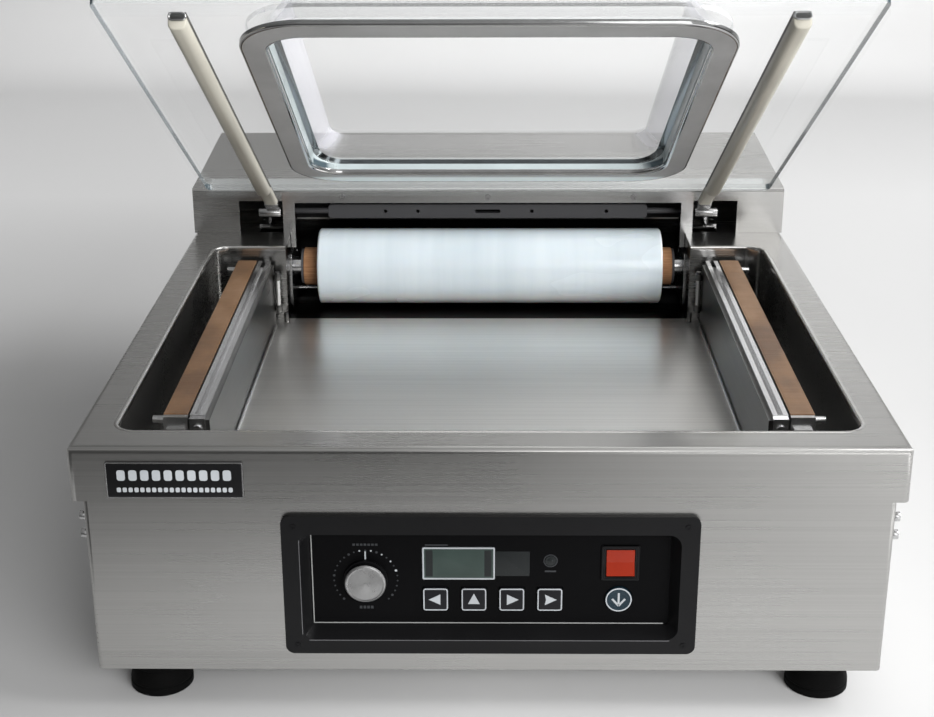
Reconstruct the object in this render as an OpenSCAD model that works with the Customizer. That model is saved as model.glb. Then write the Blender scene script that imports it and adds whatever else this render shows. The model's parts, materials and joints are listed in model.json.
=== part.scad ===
// Table-top vacuum packing machine with a film roll, a clear hinged lid and two seal bars.
// Origin: centre of the footprint, on the surface it stands on. The control panel faces -Y.

/* [Casing] */
// Width of the deck
body_w = 500; // [480:1:520]
// Depth of the whole machine
body_d = 615; // [600:1:630]
// Height of the rubber feet
foot_h = 28.5; // [24:0.5:34]
// Height of the lower housing between the feet and the deck lip
wrap_h = 119; // [115:1:130]
// Height of the folded deck lip
lip_h = 35; // [32:1:38]
// Inset of the lower housing from the deck lip
wrap_inset = 5.7; // [4:0.1:8]
// Thickness of the casing sheet
sheet = 1.5; // [1.2:0.1:2]

/* [Chamber] */
// Half width of the chamber opening
tub_x = 226.5; // [224:0.5:228]
// Front edge of the chamber opening, from the front of the deck
tub_front = 26; // [24:1:30]
// Rear edge of the chamber opening, from the front of the deck
tub_rear = 410; // [406:1:414]
// Half width of the roll well behind the chamber
well_x = 168; // [166:0.5:169]
// Rear wall of the roll well, from the front of the deck
well_rear = 499.5; // [497:0.5:502]
// Depth of the chamber below the deck
tub_depth = 65; // [60:1:66]
// Radius of the chamber's corners
tub_r = 13; // [8:1:18]

/* [Lid] */
// Angle that the lid stands open at rest
lid_open = 30.19; // [20:0.01:34]
// Width of the lid plate
lid_w = 462; // [460:1:464]
// Length of the lid plate from its rear edge to its front edge
lid_l = 402; // [398:1:404]
// Thickness of the lid plate
lid_t = 10; // [8:0.5:12]
// Gap between the closed lid and the deck
lid_gap = 6; // [6:0.1:7]
// Height of the dome above the lid plate
dome_h = 22; // [16:1:27]

/* [Film roll] */
// Outer radius of the film on the roll
film_r = 32; // [26:1:33]
// Half length of the film
film_x = 145.5; // [130:0.5:148]
// Outer radius of the cardboard core
core_r = 16; // [14:1:18]

/* [Seal bars] */
// Lift of the seal bars
bar_lift = 13.5; // [10:0.5:14]
// Width of a seal bar
bar_w = 15.5; // [15:0.1:15.8]

/* [Controls] */
// Radius of the knob
knob_r = 13; // [10:0.5:15]
// Side of an arrow key
key_w = 15.4; // [14:0.1:16]
// Tilt of the rocker switch between its two positions
rocker_tilt = 16; // [10:1:18]

/* [Hidden] */
$fn = 48;

// Clearance between pieces of different bodies, and of a running fit
gap = 0.4;
run_fit = 0.05;
// Main planes of the casing; the badge stands out of the front by its own thickness
x0 = body_w / 2;
badge_t = 1;
y0 = -body_d / 2 + badge_t / 2;
y1 = body_d / 2 + badge_t / 2;
wrap_x = x0 - wrap_inset;
wrap_y = y0 + wrap_inset;
back_y = y1 - wrap_inset;
wrap_z = foot_h + wrap_h;
deck_z = wrap_z + lip_h;
// Chamber
tub_y0 = y0 + tub_front;
tub_y1 = y0 + tub_rear;
well_y1 = y0 + well_rear;
floor_z = deck_z - tub_depth;
plate_t = 2;
panel_x = 177;
panel_t = 2.5;
// Rear housing: front face, fold line and heights above the deck
rear_y = y0 + 450.8;
fold_y = rear_y + 58;
rear_h = 38.8;
fold_h = 42;
back_h = 49.7;
mouth_z = deck_z + 27;
notch_x0 = 174;
notch_x1 = 211;
notch_h = 28;
frame_t = 2.5;
pillar_x = 163.5;
pillar_x1 = 173.5;
strip_z1 = deck_z + 36.5;
frame_screw_x = [-123, 0, 123];
frame_screw_z = mouth_z + 4.7;
// Lid hinge axis, and the edges of the closed lid
hinge_y = rear_y + 41.9;
hinge_z = deck_z + 29.4;
pin_r = 4;
bush_r = 5.5;
lid_z = deck_z + lid_gap;
lid_y1 = hinge_y - 73.3;
lid_y0 = lid_y1 - lid_l;
win_x = 153.5;
win_l0 = 38;
win_l1 = 376;
win_band = 17;
win_r = 42;
win_t = 3;
arm_x = 182;
arm_w = 11;
bar_t = 11;
thin_t = 5.5;
bar_l = 388;
cheek_t = 2.5;
barrel_r = 4;
barrel_out = 1;
barrel_y = hinge_y - 30.5;
barrel_z = hinge_z - 30.9;
// Seal bars
strip_x = 191;
strip_top = deck_z - 10;
strip_t = 0.5;
bar_y0 = y0 + 74.9;
bar_y1 = y0 + 404;
bar_z0 = deck_z - 30;
lift_y = [bar_y0 + 80, bar_y1 - 75];
rod_r = 4;
cyl_r = 8;
// Film roll axis
roll_y = rear_y + 1.7;
roll_z = deck_z - 30;
film_shift = 1.7;
core_x = film_x + 11.5;
spindle_r = 5.5;
holder_t = 1.2;
// Control panel
cp_x = 1;
bezel_w = 253;
bezel_z0 = foot_h + 13.5;
bezel_z1 = foot_h + 107.8;
bezel_r = 5.5;
bezel_out = 3;
well_in_w = 231;
well_z0 = foot_h + 23.2;
well_z1 = foot_h + 95.5;
draft = 5;
face_y = wrap_y + 8;
face_t = 2;
knob_x = -75.7;
knob_z = foot_h + 59.8;
knob_y1 = face_y - 1;
key_z = foot_h + 46.2;
key_x = [-32.8, -9.1, 14.3, 37.8];
key_out = 1.2;
start_x = 80.3;
start_z = foot_h + 46.5;
start_r = 8.3;
rock_x = 80.8;
rock_z = foot_h + 71.4;
rock_w = 17.2;
rock_h = 17.4;
board_y = face_y + 14;
// Pump group
pump_z = foot_h + sheet;
motor_y = 60;
motor_z = pump_z + 42;
shaft_r = 6;
hose_x = 50;
hose_z = pump_z + 56;
valve_y = 206;
port_z = floor_z + 20;

// ---------- shared shapes ----------

module box(x_lo, x_hi, y_lo, y_hi, z_lo, z_hi)
    translate([x_lo, y_lo, z_lo]) cube([x_hi - x_lo, y_hi - y_lo, z_hi - z_lo]);

// Rectangle from corner to corner with rounded corners
module round_rect(x_lo, x_hi, y_lo, y_hi, r) {
    translate([x_lo + r, y_lo]) square([x_hi - x_lo - 2 * r, y_hi - y_lo]);
    translate([x_lo, y_lo + r]) square([x_hi - x_lo, y_hi - y_lo - 2 * r]);
    for (x = [x_lo + r, x_hi - r])
        for (y = [y_lo + r, y_hi - r])
            translate([x, y]) circle(r);
}

module slab(z_lo, z_hi) translate([0, 0, z_lo]) linear_extrude(z_hi - z_lo) children();

// An outline drawn in X and Z, made solid from y_lo to y_hi
module wall_xz(y_lo, y_hi)
    translate([0, y_hi, 0]) rotate([90, 0, 0]) linear_extrude(y_hi - y_lo) children();

// An outline drawn in Y and Z, made solid from x_lo to x_hi
module wall_yz(x_lo, x_hi)
    translate([x_lo, 0, 0]) rotate([90, 0, 90]) linear_extrude(x_hi - x_lo) children();

module rod_x(x_lo, x_hi, y, z, r) translate([x_lo, y, z]) rotate([0, 90, 0]) cylinder(h = x_hi - x_lo, r = r);
module rod_y(y_lo, y_hi, x, z, r) translate([x, y_hi, z]) rotate([90, 0, 0]) cylinder(h = y_hi - y_lo, r = r);
module rod_z(z_lo, z_hi, x, y, r) translate([x, y, z_lo]) cylinder(h = z_hi - z_lo, r = r);

module both_sides() {
    children();
    mirror([1, 0, 0]) children();
}

// Carries lid pieces from the closed place to the rest place
module lid_pose()
    translate([0, hinge_y, hinge_z]) rotate([-lid_open, 0, 0]) translate([0, -hinge_y, -hinge_z]) children();

// A round screw head with a hexagon socket, its face at z = 0 and its head towards +Z
module screw_head(r, h, shank) {
    difference() {
        cylinder(h = h, r = r);
        translate([0, 0, h * 0.45]) cylinder(h = h, r = r * 0.5, $fn = 6);
    }
    if (shank > 0)
        translate([0, 0, -shank]) cylinder(h = shank, r = r * 0.5);
}

// Plan of the chamber and the roll well behind it, grown by g
module tub_plan(g) {
    round_rect(-tub_x - g, tub_x + g, tub_y0 - g, tub_y1 + g, tub_r + g);
    translate([-well_x - g, tub_y1 - 20]) square([2 * (well_x + g), well_y1 + g - tub_y1 + 20]);
}

// ---------- casing ----------

module deck_pan() {
    edge_r = 4;
    color("silver") difference() {
        intersection() {
            slab(wrap_z, deck_z) round_rect(-x0, x0, y0, y1, edge_r);
            wall_xz(y0, y1) {
                translate([-x0, wrap_z]) square([2 * x0, lip_h - edge_r]);
                translate([-x0 + edge_r, wrap_z]) square([2 * (x0 - edge_r), lip_h]);
                for (x = [-x0 + edge_r, x0 - edge_r]) translate([x, deck_z - edge_r]) circle(edge_r);
            }
            wall_yz(-x0, x0) {
                translate([y0, wrap_z]) square([body_d, lip_h - edge_r]);
                translate([y0 + edge_r, wrap_z]) square([body_d - edge_r, lip_h]);
                translate([y0 + edge_r, deck_z - edge_r]) circle(edge_r);
            }
        }
        slab(wrap_z + sheet, deck_z - sheet)
            round_rect(-x0 + sheet, x0 - sheet, y0 + sheet, y1 - sheet, edge_r - sheet);
        box(-wrap_x, wrap_x, wrap_y, back_y, wrap_z - 1, wrap_z + sheet + 1);
        slab(deck_z - sheet - 1, deck_z + 1) tub_plan(0);
        // Slots that the barrels of the hinge arms dip into when the lid is closed
        both_sides() box(arm_x - arm_w / 2 - 2, arm_x + arm_w / 2 + 8, barrel_y - 9, barrel_y + 7,
            deck_z - 10, deck_z + 1);
    }
}

module chamber_tub() {
    color("silver") difference() {
        slab(floor_z - sheet, deck_z - sheet) tub_plan(sheet);
        slab(floor_z, deck_z) tub_plan(0);
        // Suction port
        rod_y(well_y1 - 5, well_y1 + 5, hose_x, port_z, 5);
    }
}

module chamber_floor() {
    color("lightgray") box(-panel_x, panel_x, tub_y0 + 1, tub_y1, floor_z, floor_z + plate_t);
}

module guide_panels() {
    post_x = panel_x - 2.5;
    post_y = bar_y1 - 3;
    color("gray") both_sides() {
        box(panel_x + gap, panel_x + gap + panel_t, bar_y0, bar_y1, floor_z, strip_top - 4);
        // Slim post on the rear end of each panel, held by two collars, and a short stop below it
        rod_z(floor_z + 11, strip_top - 9, post_x, post_y, 2);
        for (z = [floor_z + 12, strip_top - 16]) rod_z(z, z + 5, post_x, post_y, 3.2);
        rod_z(floor_z + plate_t, floor_z + 10, post_x - 6, post_y + 1, 2);
    }
}

module lower_housing() {
    color("silver") difference() {
        slab(foot_h, wrap_z + sheet) round_rect(-wrap_x, wrap_x, wrap_y, back_y + 10, 3);
        slab(foot_h - 1, wrap_z + sheet + 1)
            round_rect(-wrap_x + sheet, wrap_x - sheet, wrap_y + sheet, back_y + 11, 1.5);
        box(-x0, x0, back_y - sheet, y1 + 20, 0, deck_z);
        box(cp_x - bezel_w / 2 + 4, cp_x + bezel_w / 2 - 4, y0, wrap_y + 5, bezel_z0 + 4, bezel_z1 - 4);
    }
}

module base_plate() {
    color("dimgray") difference() {
        box(-wrap_x + sheet, wrap_x - sheet, wrap_y + sheet, back_y - sheet, foot_h, foot_h + sheet);
        for (x = [-160 : 20 : -60]) box(x, x + 8, -120, -60, foot_h - 1, foot_h + 5);
    }
}

module back_panel() {
    slots = 12;
    color("silver") difference() {
        box(-wrap_x, wrap_x, back_y - sheet, back_y, foot_h, wrap_z + sheet);
        for (x = [-120, 120], i = [0 : slots - 1])
            translate([x - 66 + i * 11, 0, foot_h]) box(0, 5, back_y - 5, y1, 45, 95);
        box(-15, 15, back_y - 5, y1, foot_h + 22, foot_h + 46);
    }
}

// Side outline of the rear housing, moved in by g, with a rounded front edge
module rear_side(g) {
    r = 3;
    z_front = deck_z + rear_h - g;
    arc = [for (i = [0 : 5]) [rear_y + g + r - r * cos(18 * i), z_front - r + r * sin(18 * i)]];
    polygon(concat([[rear_y + g, deck_z]], arc,
        [[fold_y, deck_z + fold_h - g], [y1 - g, deck_z + back_h - g], [y1 - g, deck_z]]));
}

module rear_cover() {
    color("silver") difference() {
        wall_yz(-x0, x0) rear_side(0);
        difference() {
            wall_yz(-x0 + sheet, x0 - sheet) rear_side(sheet);
            box(-x0, x0, rear_y - 1, y1 + 1, deck_z - 2, deck_z);
        }
        both_sides() box(notch_x0, notch_x1, rear_y - 5, rear_y + 5, deck_z - 1, deck_z + notch_h);
        box(-pillar_x - 4, pillar_x + 4, rear_y - 5, rear_y + 5, deck_z - 1, mouth_z);
    }
}

module rear_frame() {
    inset = 4;
    color("gainsboro") wall_xz(rear_y - frame_t, rear_y) {
        difference() {
            translate([-pillar_x1, mouth_z]) square([2 * pillar_x1, strip_z1 - mouth_z]);
            for (x = [-pillar_x1, pillar_x1])
                translate([x - 3, strip_z1 - 3]) square([6, 6]);
            for (x = frame_screw_x) translate([x, frame_screw_z]) circle(1.5);
        }
        for (x = [-pillar_x1 + 3, pillar_x1 - 3]) translate([x, strip_z1 - 3]) circle(3);
        for (side = [-1, 1]) {
            translate([side * (pillar_x + pillar_x1) / 2 - 5, deck_z]) square([10, mouth_z - deck_z + 1]);
            translate([side * (pillar_x + inset / 2) - inset / 2, deck_z - 12]) square([inset, 14]);
        }
    }
}

module cavity_liner() {
    t = 1;
    top = deck_z + 34;
    color([0.1, 0.1, 0.1]) difference() {
        box(-well_x - t, well_x + t, rear_y + sheet, well_y1 + t, deck_z, top);
        box(-well_x, well_x, rear_y - 1, well_y1, deck_z - 1, top - t);
    }
}

module film_guide_bar() {
    bar_x = 137;
    y = rear_y + 18;
    z0 = deck_z + 8;
    color([0.25, 0.25, 0.26]) {
        difference() {
            wall_xz(y, y + 5) round_rect(-bar_x, bar_x, z0, z0 + 12, 3);
            wall_xz(y - 1, y + 6) round_rect(-11, 11, z0 + 4.4, z0 + 7.6, 1.5);
            for (x = [-88, -60, 38, 102]) rod_y(y - 1, y + 6, x, z0 + 6, 1.6);
        }
        both_sides() rod_x(bar_x, well_x, y + 2.5, z0 + 6, 2.5);
    }
}

module rubber_feet() {
    foot_r = 20;
    color([0.12, 0.12, 0.12]) for (x = [-212, 212]) for (y = [y0 + 38, y1 - 50]) translate([x, y, 0]) {
        difference() {
            union() {
                cylinder(h = 6, r = foot_r);
                translate([0, 0, 6]) cylinder(h = 9, r1 = foot_r, r2 = foot_r - 3);
                translate([0, 0, 15]) cylinder(h = foot_h - 18, r = foot_r - 3);
            }
            translate([0, 0, 8]) cylinder(h = foot_h, r = 5);
        }
    }
}

module foot_bolts() {
    color("silver") for (x = [-212, 212]) for (y = [y0 + 38, y1 - 50]) translate([x, y, 0]) {
        translate([0, 0, foot_h - 3]) difference() {
            cylinder(h = 3, r = 14);
            translate([0, 0, -1]) cylinder(h = 5, r = 3);
        }
        translate([0, 0, 8]) cylinder(h = foot_h - 11, r = 5);
    }
}

module casing_screws() {
    color("silver") {
        // Pairs of screws along both sides of the lower housing
        for (side = [-1, 1]) for (y = [y0 + 12, 20, y1 - 40]) for (z = [wrap_z - 15, wrap_z - 27])
            translate([side * wrap_x, y, z]) rotate([0, side * 90, 0]) screw_head(3, 3.6, 0);
        // Screws of the bezel
        for (x = [-119, 119]) for (z = [bezel_z0 + 6, bezel_z1 - 7])
            translate([cp_x + x, wrap_y - bezel_out, z]) rotate([90, 0, 0]) screw_head(1.8, 0.5, 0);
        // Screws of the rear frame
        for (x = frame_screw_x)
            translate([x, rear_y - frame_t, frame_screw_z]) rotate([90, 0, 0]) screw_head(2.4, 1, frame_t);
        // Screws of the back panel
        for (x = [-230, 0, 230]) for (z = [foot_h + 8, wrap_z - 8])
            translate([x, back_y, z]) rotate([-90, 0, 0]) screw_head(3.2, 1.8, 0);
    }
}

module badge_plate() {
    color([0.08, 0.08, 0.08]) wall_xz(y0 - badge_t, y0)
        round_rect(-227.5, -145.5, deck_z - 32.5, deck_z - 9, 1);
}

module guide_rails() {
    rail_x0 = panel_x + gap + panel_t;
    rail_x1 = strip_x - 1.2;
    color("gainsboro") both_sides() difference() {
        union() {
            box(rail_x0, rail_x1, bar_y0, bar_y1, bar_z0, strip_top - 0.5);
            // End bracket with its screw
            box(rail_x0, rail_x1, bar_y0 - 3, bar_y0, bar_z0 - 6, strip_top - 2);
            rod_y(bar_y0 - 5, bar_y0 - 3, (rail_x0 + rail_x1) / 2, strip_top - 9, 3);
        }
        box(rail_x0 + 3.2, rail_x1 - 3.2, bar_y0 + 1, bar_y1 + 1, strip_top - 6, strip_top + 1);
    }
}

// ---------- control panel ----------

module control_bezel() {
    front = wrap_y - bezel_out;
    color([0.07, 0.07, 0.08]) difference() {
        union() {
            wall_xz(front, wrap_y)
                round_rect(cp_x - bezel_w / 2, cp_x + bezel_w / 2, bezel_z0, bezel_z1, bezel_r);
            wall_xz(wrap_y, face_y + face_t)
                round_rect(cp_x - bezel_w / 2 + 5, cp_x + bezel_w / 2 - 5, bezel_z0 + 5, bezel_z1 - 5, 3);
        }
        hull() {
            wall_xz(front - 1, front)
                round_rect(cp_x - well_in_w / 2, cp_x + well_in_w / 2, well_z0, well_z1, 8);
            wall_xz(face_y - 1, face_y)
                round_rect(cp_x - well_in_w / 2 + draft, cp_x + well_in_w / 2 - draft,
                    well_z0 + draft, well_z1 - 1, 4);
        }
        box(cp_x - well_in_w / 2 + draft, cp_x + well_in_w / 2 - draft, face_y - 1, face_y + 5,
            well_z0 + draft, well_z1 - 1);
    }
}

module control_panel() {
    color([0.1, 0.1, 0.11]) difference() {
        box(cp_x - well_in_w / 2 + draft, cp_x + well_in_w / 2 - draft, face_y, face_y + face_t,
            well_z0 + draft, well_z1 - 1);
        rod_y(face_y - 1, face_y + 5, knob_x, knob_z, 5);
        for (x = key_x) box(x - key_w / 2 - gap, x + key_w / 2 + gap, face_y - 1, face_y + 5,
            key_z - key_w / 2 - gap, key_z + key_w / 2 + gap);
        rod_y(face_y - 1, face_y + 5, start_x, start_z, start_r + gap);
        box(rock_x - rock_w / 2 - 1.6, rock_x + rock_w / 2 + 1.6, face_y - 1, face_y + 5,
            rock_z - rock_h / 2 - 1.6, rock_z + rock_h / 2 + 1.6);
        // Windows of the display, the status window and the lamp
        box(-40, 3, face_y - 1, face_y + 5, foot_h + 60.5, foot_h + 81);
        box(4, 25.2, face_y - 1, face_y + 5, foot_h + 62, foot_h + 79);
        rod_y(face_y - 1, face_y + 5, 38, foot_h + 72.5, 3.7);
    }
}

module lcd_display() {
    color([0.55, 0.62, 0.58]) box(-40, 3, face_y - 0.6, face_y + face_t + 3, foot_h + 60.5, foot_h + 81);
}

module display_windows() {
    color([0.16, 0.18, 0.2]) {
        box(4, 25.2, face_y - 0.2, face_y + face_t, foot_h + 62, foot_h + 79);
        rod_y(face_y - 1.2, face_y + face_t, 38, foot_h + 72.5, 3.7);
    }
}

module control_board() {
    color("darkgreen") {
        box(-98, 100, board_y, board_y + 1.6, foot_h + 32, foot_h + 86);
        // Potentiometer
        difference() {
            rod_y(face_y + face_t, board_y, knob_x, knob_z, 8);
            rod_y(face_y - 1, board_y - 2, knob_x, knob_z, 3 + run_fit);
        }
        // Key switches
        for (x = key_x) box(x - 3, x + 3, board_y - 4, board_y, key_z - 3, key_z + 3);
        box(start_x - 3, start_x + 3, board_y - 4, board_y, start_z - 3, start_z + 3);
        // Standoffs
        for (x = [-94, 96]) for (z = [foot_h + 36, foot_h + 82]) rod_y(face_y + face_t, board_y, x, z, 2.5);
    }
}

module knob() {
    teeth = 24;
    color([0.08, 0.08, 0.08]) {
        difference() {
            union() {
                rod_y(knob_y1 - 5.5, knob_y1, knob_x, knob_z, knob_r - 0.5);
                rod_y(knob_y1 - 1.5, knob_y1, knob_x, knob_z, knob_r + 0.5);
            }
            for (i = [0 : teeth - 1])
                rod_y(knob_y1 - 6, knob_y1 - 1.5, knob_x + (knob_r - 0.2) * cos(i * 360 / teeth),
                    knob_z + (knob_r - 0.2) * sin(i * 360 / teeth), 0.5);
        }
        rod_y(knob_y1, board_y - 3, knob_x, knob_z, 3);
    }
}

module knob_cap() {
    color("silver") rod_y(knob_y1 - 6.7, knob_y1 - 5.5, knob_x, knob_z, knob_r - 1);
}

// One arrow key: cap, retaining flange and stem
module arrow_key(x) {
    h = key_w / 2;
    y_back = face_y + face_t + gap;
    color([0.09, 0.09, 0.1]) {
        wall_xz(face_y - key_out, y_back) round_rect(x - h, x + h, key_z - h, key_z + h, 1.5);
        box(x - h - 1, x + h + 1, y_back, y_back + 1.2, key_z - h - 1, key_z + h + 1);
        rod_y(y_back + 1.2, board_y - 4 - 1.4, x, key_z, 2);
    }
}
module arrow_key_1() arrow_key(key_x[0]);
module arrow_key_2() arrow_key(key_x[1]);
module arrow_key_3() arrow_key(key_x[2]);
module arrow_key_4() arrow_key(key_x[3]);

module start_button() {
    y_back = face_y + face_t + gap;
    color([0.08, 0.12, 0.2]) {
        rod_y(face_y - 1.5, y_back, start_x, start_z, start_r);
        rod_y(y_back, y_back + 1.2, start_x, start_z, start_r + 1);
        rod_y(y_back + 1.2, board_y - 4 - 1.4, start_x, start_z, 2);
    }
}

module switch_frame() {
    w = rock_w / 2 + 1.6;
    h = rock_h / 2 + 1.6;
    color([0.06, 0.06, 0.06]) difference() {
        union() {
            wall_xz(face_y - 1.2, face_y)
                round_rect(rock_x - w - 1.6, rock_x + w + 1.6, rock_z - h - 1.6, rock_z + h + 1.6, 1.2);
            box(rock_x - w, rock_x + w, face_y, board_y - 1, rock_z - h, rock_z + h);
        }
        box(rock_x - w + 1.2, rock_x + w - 1.2, face_y - 2, board_y - 2, rock_z - h + 0.7, rock_z + h - 0.7);
        rod_x(rock_x - w - 1, rock_x + w + 1, face_y + 3.5, rock_z, 1.2 + run_fit);
    }
}

module rocker_switch() {
    h = rock_h / 2 - 0.3;
    slope = 3.2;
    color([0.85, 0.2, 0.1]) {
        translate([0, face_y + 3.5, rock_z]) rotate([-rocker_tilt / 2, 0, 0]) {
            wall_yz(rock_x - rock_w / 2, rock_x + rock_w / 2)
                polygon([[-4.6, 0], [-6, h], [1.5, h - slope], [5, 3],
                    [5, -3], [1.5, slope - h], [-6, -h]]);
        }
        rod_x(rock_x - rock_w / 2 - 1.4, rock_x + rock_w / 2 + 1.4, face_y + 3.5, rock_z, 1.2);
    }
}

// ---------- lid and hinge ----------

module hinge_brackets() {
    foot_w = 7;
    color("silver") both_sides() {
        for (side = [-1, 1]) {
            x_in = arm_x + side * (arm_w / 2 + gap);
            x_out = x_in + side * cheek_t;
            wall_yz(min(x_in, x_out), max(x_in, x_out)) difference() {
                union() {
                    translate([hinge_y - 10, deck_z]) square([20, hinge_z - deck_z]);
                    translate([hinge_y, hinge_z]) circle(8.5);
                }
                translate([hinge_y, hinge_z]) circle(pin_r);
            }
        }
        // Feet of the two cheeks, screwed to the deck
        foot_y0 = hinge_y - 10;
        foot_y1 = hinge_y + 10;
        x_in = arm_x - arm_w / 2 - gap;
        x_out = arm_x + arm_w / 2 + gap;
        box(x_in - foot_w, x_in, foot_y0, foot_y1, deck_z, deck_z + 2);
        difference() {
            box(x_out, x_out + foot_w + cheek_t, foot_y0 - 12, foot_y1, deck_z, deck_z + 2);
            for (y = [foot_y0 + 3, foot_y1 - 4]) rod_z(deck_z - 1, deck_z + 4, x_out + foot_w, y, 1.8);
        }
    }
}

module hinge_pins() {
    color("silver") both_sides() {
        rod_x(arm_x - 9.5, arm_x + 24, hinge_y, hinge_z, pin_r);
        rod_x(arm_x - 11, arm_x - 9.5, hinge_y, hinge_z, 6);
    }
}

// Torsion springs on the outer ends of the hinge pins
module torsion_springs() {
    wire = 1.2;
    turns = 5;
    color("dimgray") both_sides() {
        for (i = [0 : turns - 1]) translate([arm_x + 11 + i * 2.4, hinge_y, hinge_z]) rotate([0, 90, 0])
            rotate_extrude() translate([pin_r + gap + wire, 0]) circle(wire - 0.02);
        rod_z(deck_z + 2, hinge_z - 4.5, arm_x + 11, hinge_y + pin_r + gap + wire, wire);
    }
}

// Outline of the window opening in the lid
module window_opening() {
    x = win_x - win_band;
    round_rect(-x, x, lid_y1 - win_l1 + 22, lid_y1 - win_l0 - 22, win_r - win_band);
}

module lid_plate() {
    color([0.75, 0.85, 0.9, 0.4]) lid_pose() slab(lid_z, lid_z + lid_t) difference() {
        round_rect(-lid_w / 2, lid_w / 2, lid_y0, lid_y1, 6);
        window_opening();
    }
}

module window_frame() {
    color("gainsboro") lid_pose() slab(lid_z - win_t, lid_z) difference() {
        round_rect(-win_x, win_x, lid_y1 - win_l1, lid_y1 - win_l0, win_r);
        window_opening();
    }
}

// Rounded block of the dome, with walls that lean in, shrunk by g
module dome_block(g, z_lo) {
    side_lean = 18;
    end_lean = 4;
    y_lo = lid_y1 - win_l1 + 18 + g;
    y_hi = lid_y1 - win_l0 - 18 - g;
    x = win_x - win_band + 4 - g;
    hull() {
        slab(z_lo, z_lo + 0.5) round_rect(-x, x, y_lo, y_hi, 26 - g);
        slab(lid_z + lid_t + dome_h - g - 0.5, lid_z + lid_t + dome_h - g)
            round_rect(-x + side_lean, x - side_lean, y_lo + end_lean, y_hi - end_lean, 16 - g);
    }
}

module lid_dome() {
    t = 4;
    top = lid_z + lid_t;
    color([0.8, 0.88, 0.92, 0.4]) lid_pose() difference() {
        union() {
            dome_block(0, top);
            slab(top, top + t)
                round_rect(-win_x + 3, win_x - 3, lid_y1 - win_l1 + 6, lid_y1 - win_l0 - 6, win_r - 6);
        }
        dome_block(t, top - 0.2);
    }
}

module lid_gasket() {
    inner = tub_x + 0.2;
    outer = lid_w / 2 - 0.3;
    slot = arm_w / 2 + gap;
    h = lid_gap - 0.4;
    color([0.85, 0.85, 0.85]) lid_pose() difference() {
        slab(lid_z - h, lid_z) difference() {
            round_rect(-outer, outer, lid_y0 + 1, lid_y1 - 1, 5);
            round_rect(-inner, inner, lid_y0 + 7, lid_y1 - 6, 4);
        }
        both_sides() box(arm_x - slot, arm_x + slot, lid_y1 - 20, lid_y1 + 5, lid_z - 20, lid_z);
    }
    // Strips that the seal bars press the film against
    color([0.85, 0.85, 0.85]) lid_pose() both_sides()
        box(strip_x, strip_x + bar_w, bar_y0, bar_y1, strip_top + bar_lift + 0.5, lid_z);
}

module counter_bars() {
    relief_y = tub_y1 - 6;
    color([0.93, 0.9, 0.8]) lid_pose() both_sides()
        wall_yz(arm_x - arm_w / 2, arm_x + arm_w / 2)
            polygon([[lid_y1 - bar_l, lid_z], [lid_y1 - bar_l, lid_z - bar_t], [relief_y - 6, lid_z - bar_t],
                [relief_y, lid_z - thin_t], [lid_y1 + 26, lid_z - thin_t], [lid_y1 + 26, lid_z]]);
}

module hinge_arms() {
    eye_r = 8.5;
    y_end = lid_y1 + 26;
    color("silver") lid_pose() both_sides()
        wall_yz(arm_x - arm_w / 2, arm_x + arm_w / 2) difference() {
            union() {
                polygon([[y_end, lid_z - thin_t], [hinge_y + 4, lid_z - thin_t], [hinge_y + 7, hinge_z - 2],
                    [hinge_y - 7, hinge_z - 2], [hinge_y - 16, lid_z], [y_end, lid_z]]);
                translate([hinge_y, hinge_z]) circle(eye_r);
            }
            translate([hinge_y, hinge_z]) circle(bush_r);
        }
    // Cross barrel of each arm
    color("silver") lid_pose() both_sides()
        rod_x(arm_x - arm_w / 2 - barrel_out, arm_x + arm_w / 2 + 6.5, barrel_y, barrel_z, barrel_r);
}

module hinge_bushes() {
    color("goldenrod") lid_pose() both_sides()
        wall_yz(arm_x - arm_w / 2, arm_x + arm_w / 2) difference() {
            translate([hinge_y, hinge_z]) circle(bush_r);
            translate([hinge_y, hinge_z]) circle(pin_r + run_fit);
        }
}

// ---------- seal bars ----------

// Bar of the right side: body, end plate, end block, side pins and lift rods
module seal_bar() {
    x1 = strip_x + bar_w;
    xm = strip_x + bar_w / 2;
    color("silver") {
        difference() {
            box(strip_x, x1, bar_y0, bar_y1, bar_z0, strip_top - strip_t);
            box(xm - 3, xm + 3, bar_y0 + 4, bar_y1 - 4, strip_top - strip_t - 1, strip_top);
        }
        box(strip_x, x1, bar_y0 - 2.5, bar_y0, bar_z0 + 8, strip_top - 1);
        box(strip_x + 2, x1 - 2, bar_y0 - 6, bar_y0 - 2.5, bar_z0 - 4, bar_z0 + 12);
        for (y = [bar_y0 + 6, bar_y1 - 8]) rod_x(x1, x1 + 8, y, strip_top - 6, 2.5);
        for (y = lift_y) rod_z(floor_z + 4, bar_z0, xm, y, rod_r - run_fit);
    }
}
module seal_bar_right() seal_bar();
module seal_bar_left() mirror([1, 0, 0]) seal_bar();

module ptfe_strip()
    color([0.6, 0.38, 0.22])
        box(strip_x, strip_x + bar_w, bar_y0 + 1, bar_y1 - 1, strip_top - strip_t, strip_top);
module ptfe_strip_right() ptfe_strip();
module ptfe_strip_left() mirror([1, 0, 0]) ptfe_strip();

module heating_element()
    color("dimgray") box(strip_x + bar_w / 2 - 2.5, strip_x + bar_w / 2 + 2.5, bar_y0 + 5, bar_y1 - 5,
        strip_top - strip_t - 0.6, strip_top - strip_t);
module heating_element_right() heating_element();
module heating_element_left() mirror([1, 0, 0]) heating_element();

module lift_cylinders() {
    color("dimgray") both_sides() for (y = lift_y) difference() {
        rod_z(floor_z, bar_z0 - 6, strip_x + bar_w / 2, y, cyl_r);
        rod_z(floor_z + 3, bar_z0, strip_x + bar_w / 2, y, rod_r);
    }
}

// ---------- film roll ----------

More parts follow.
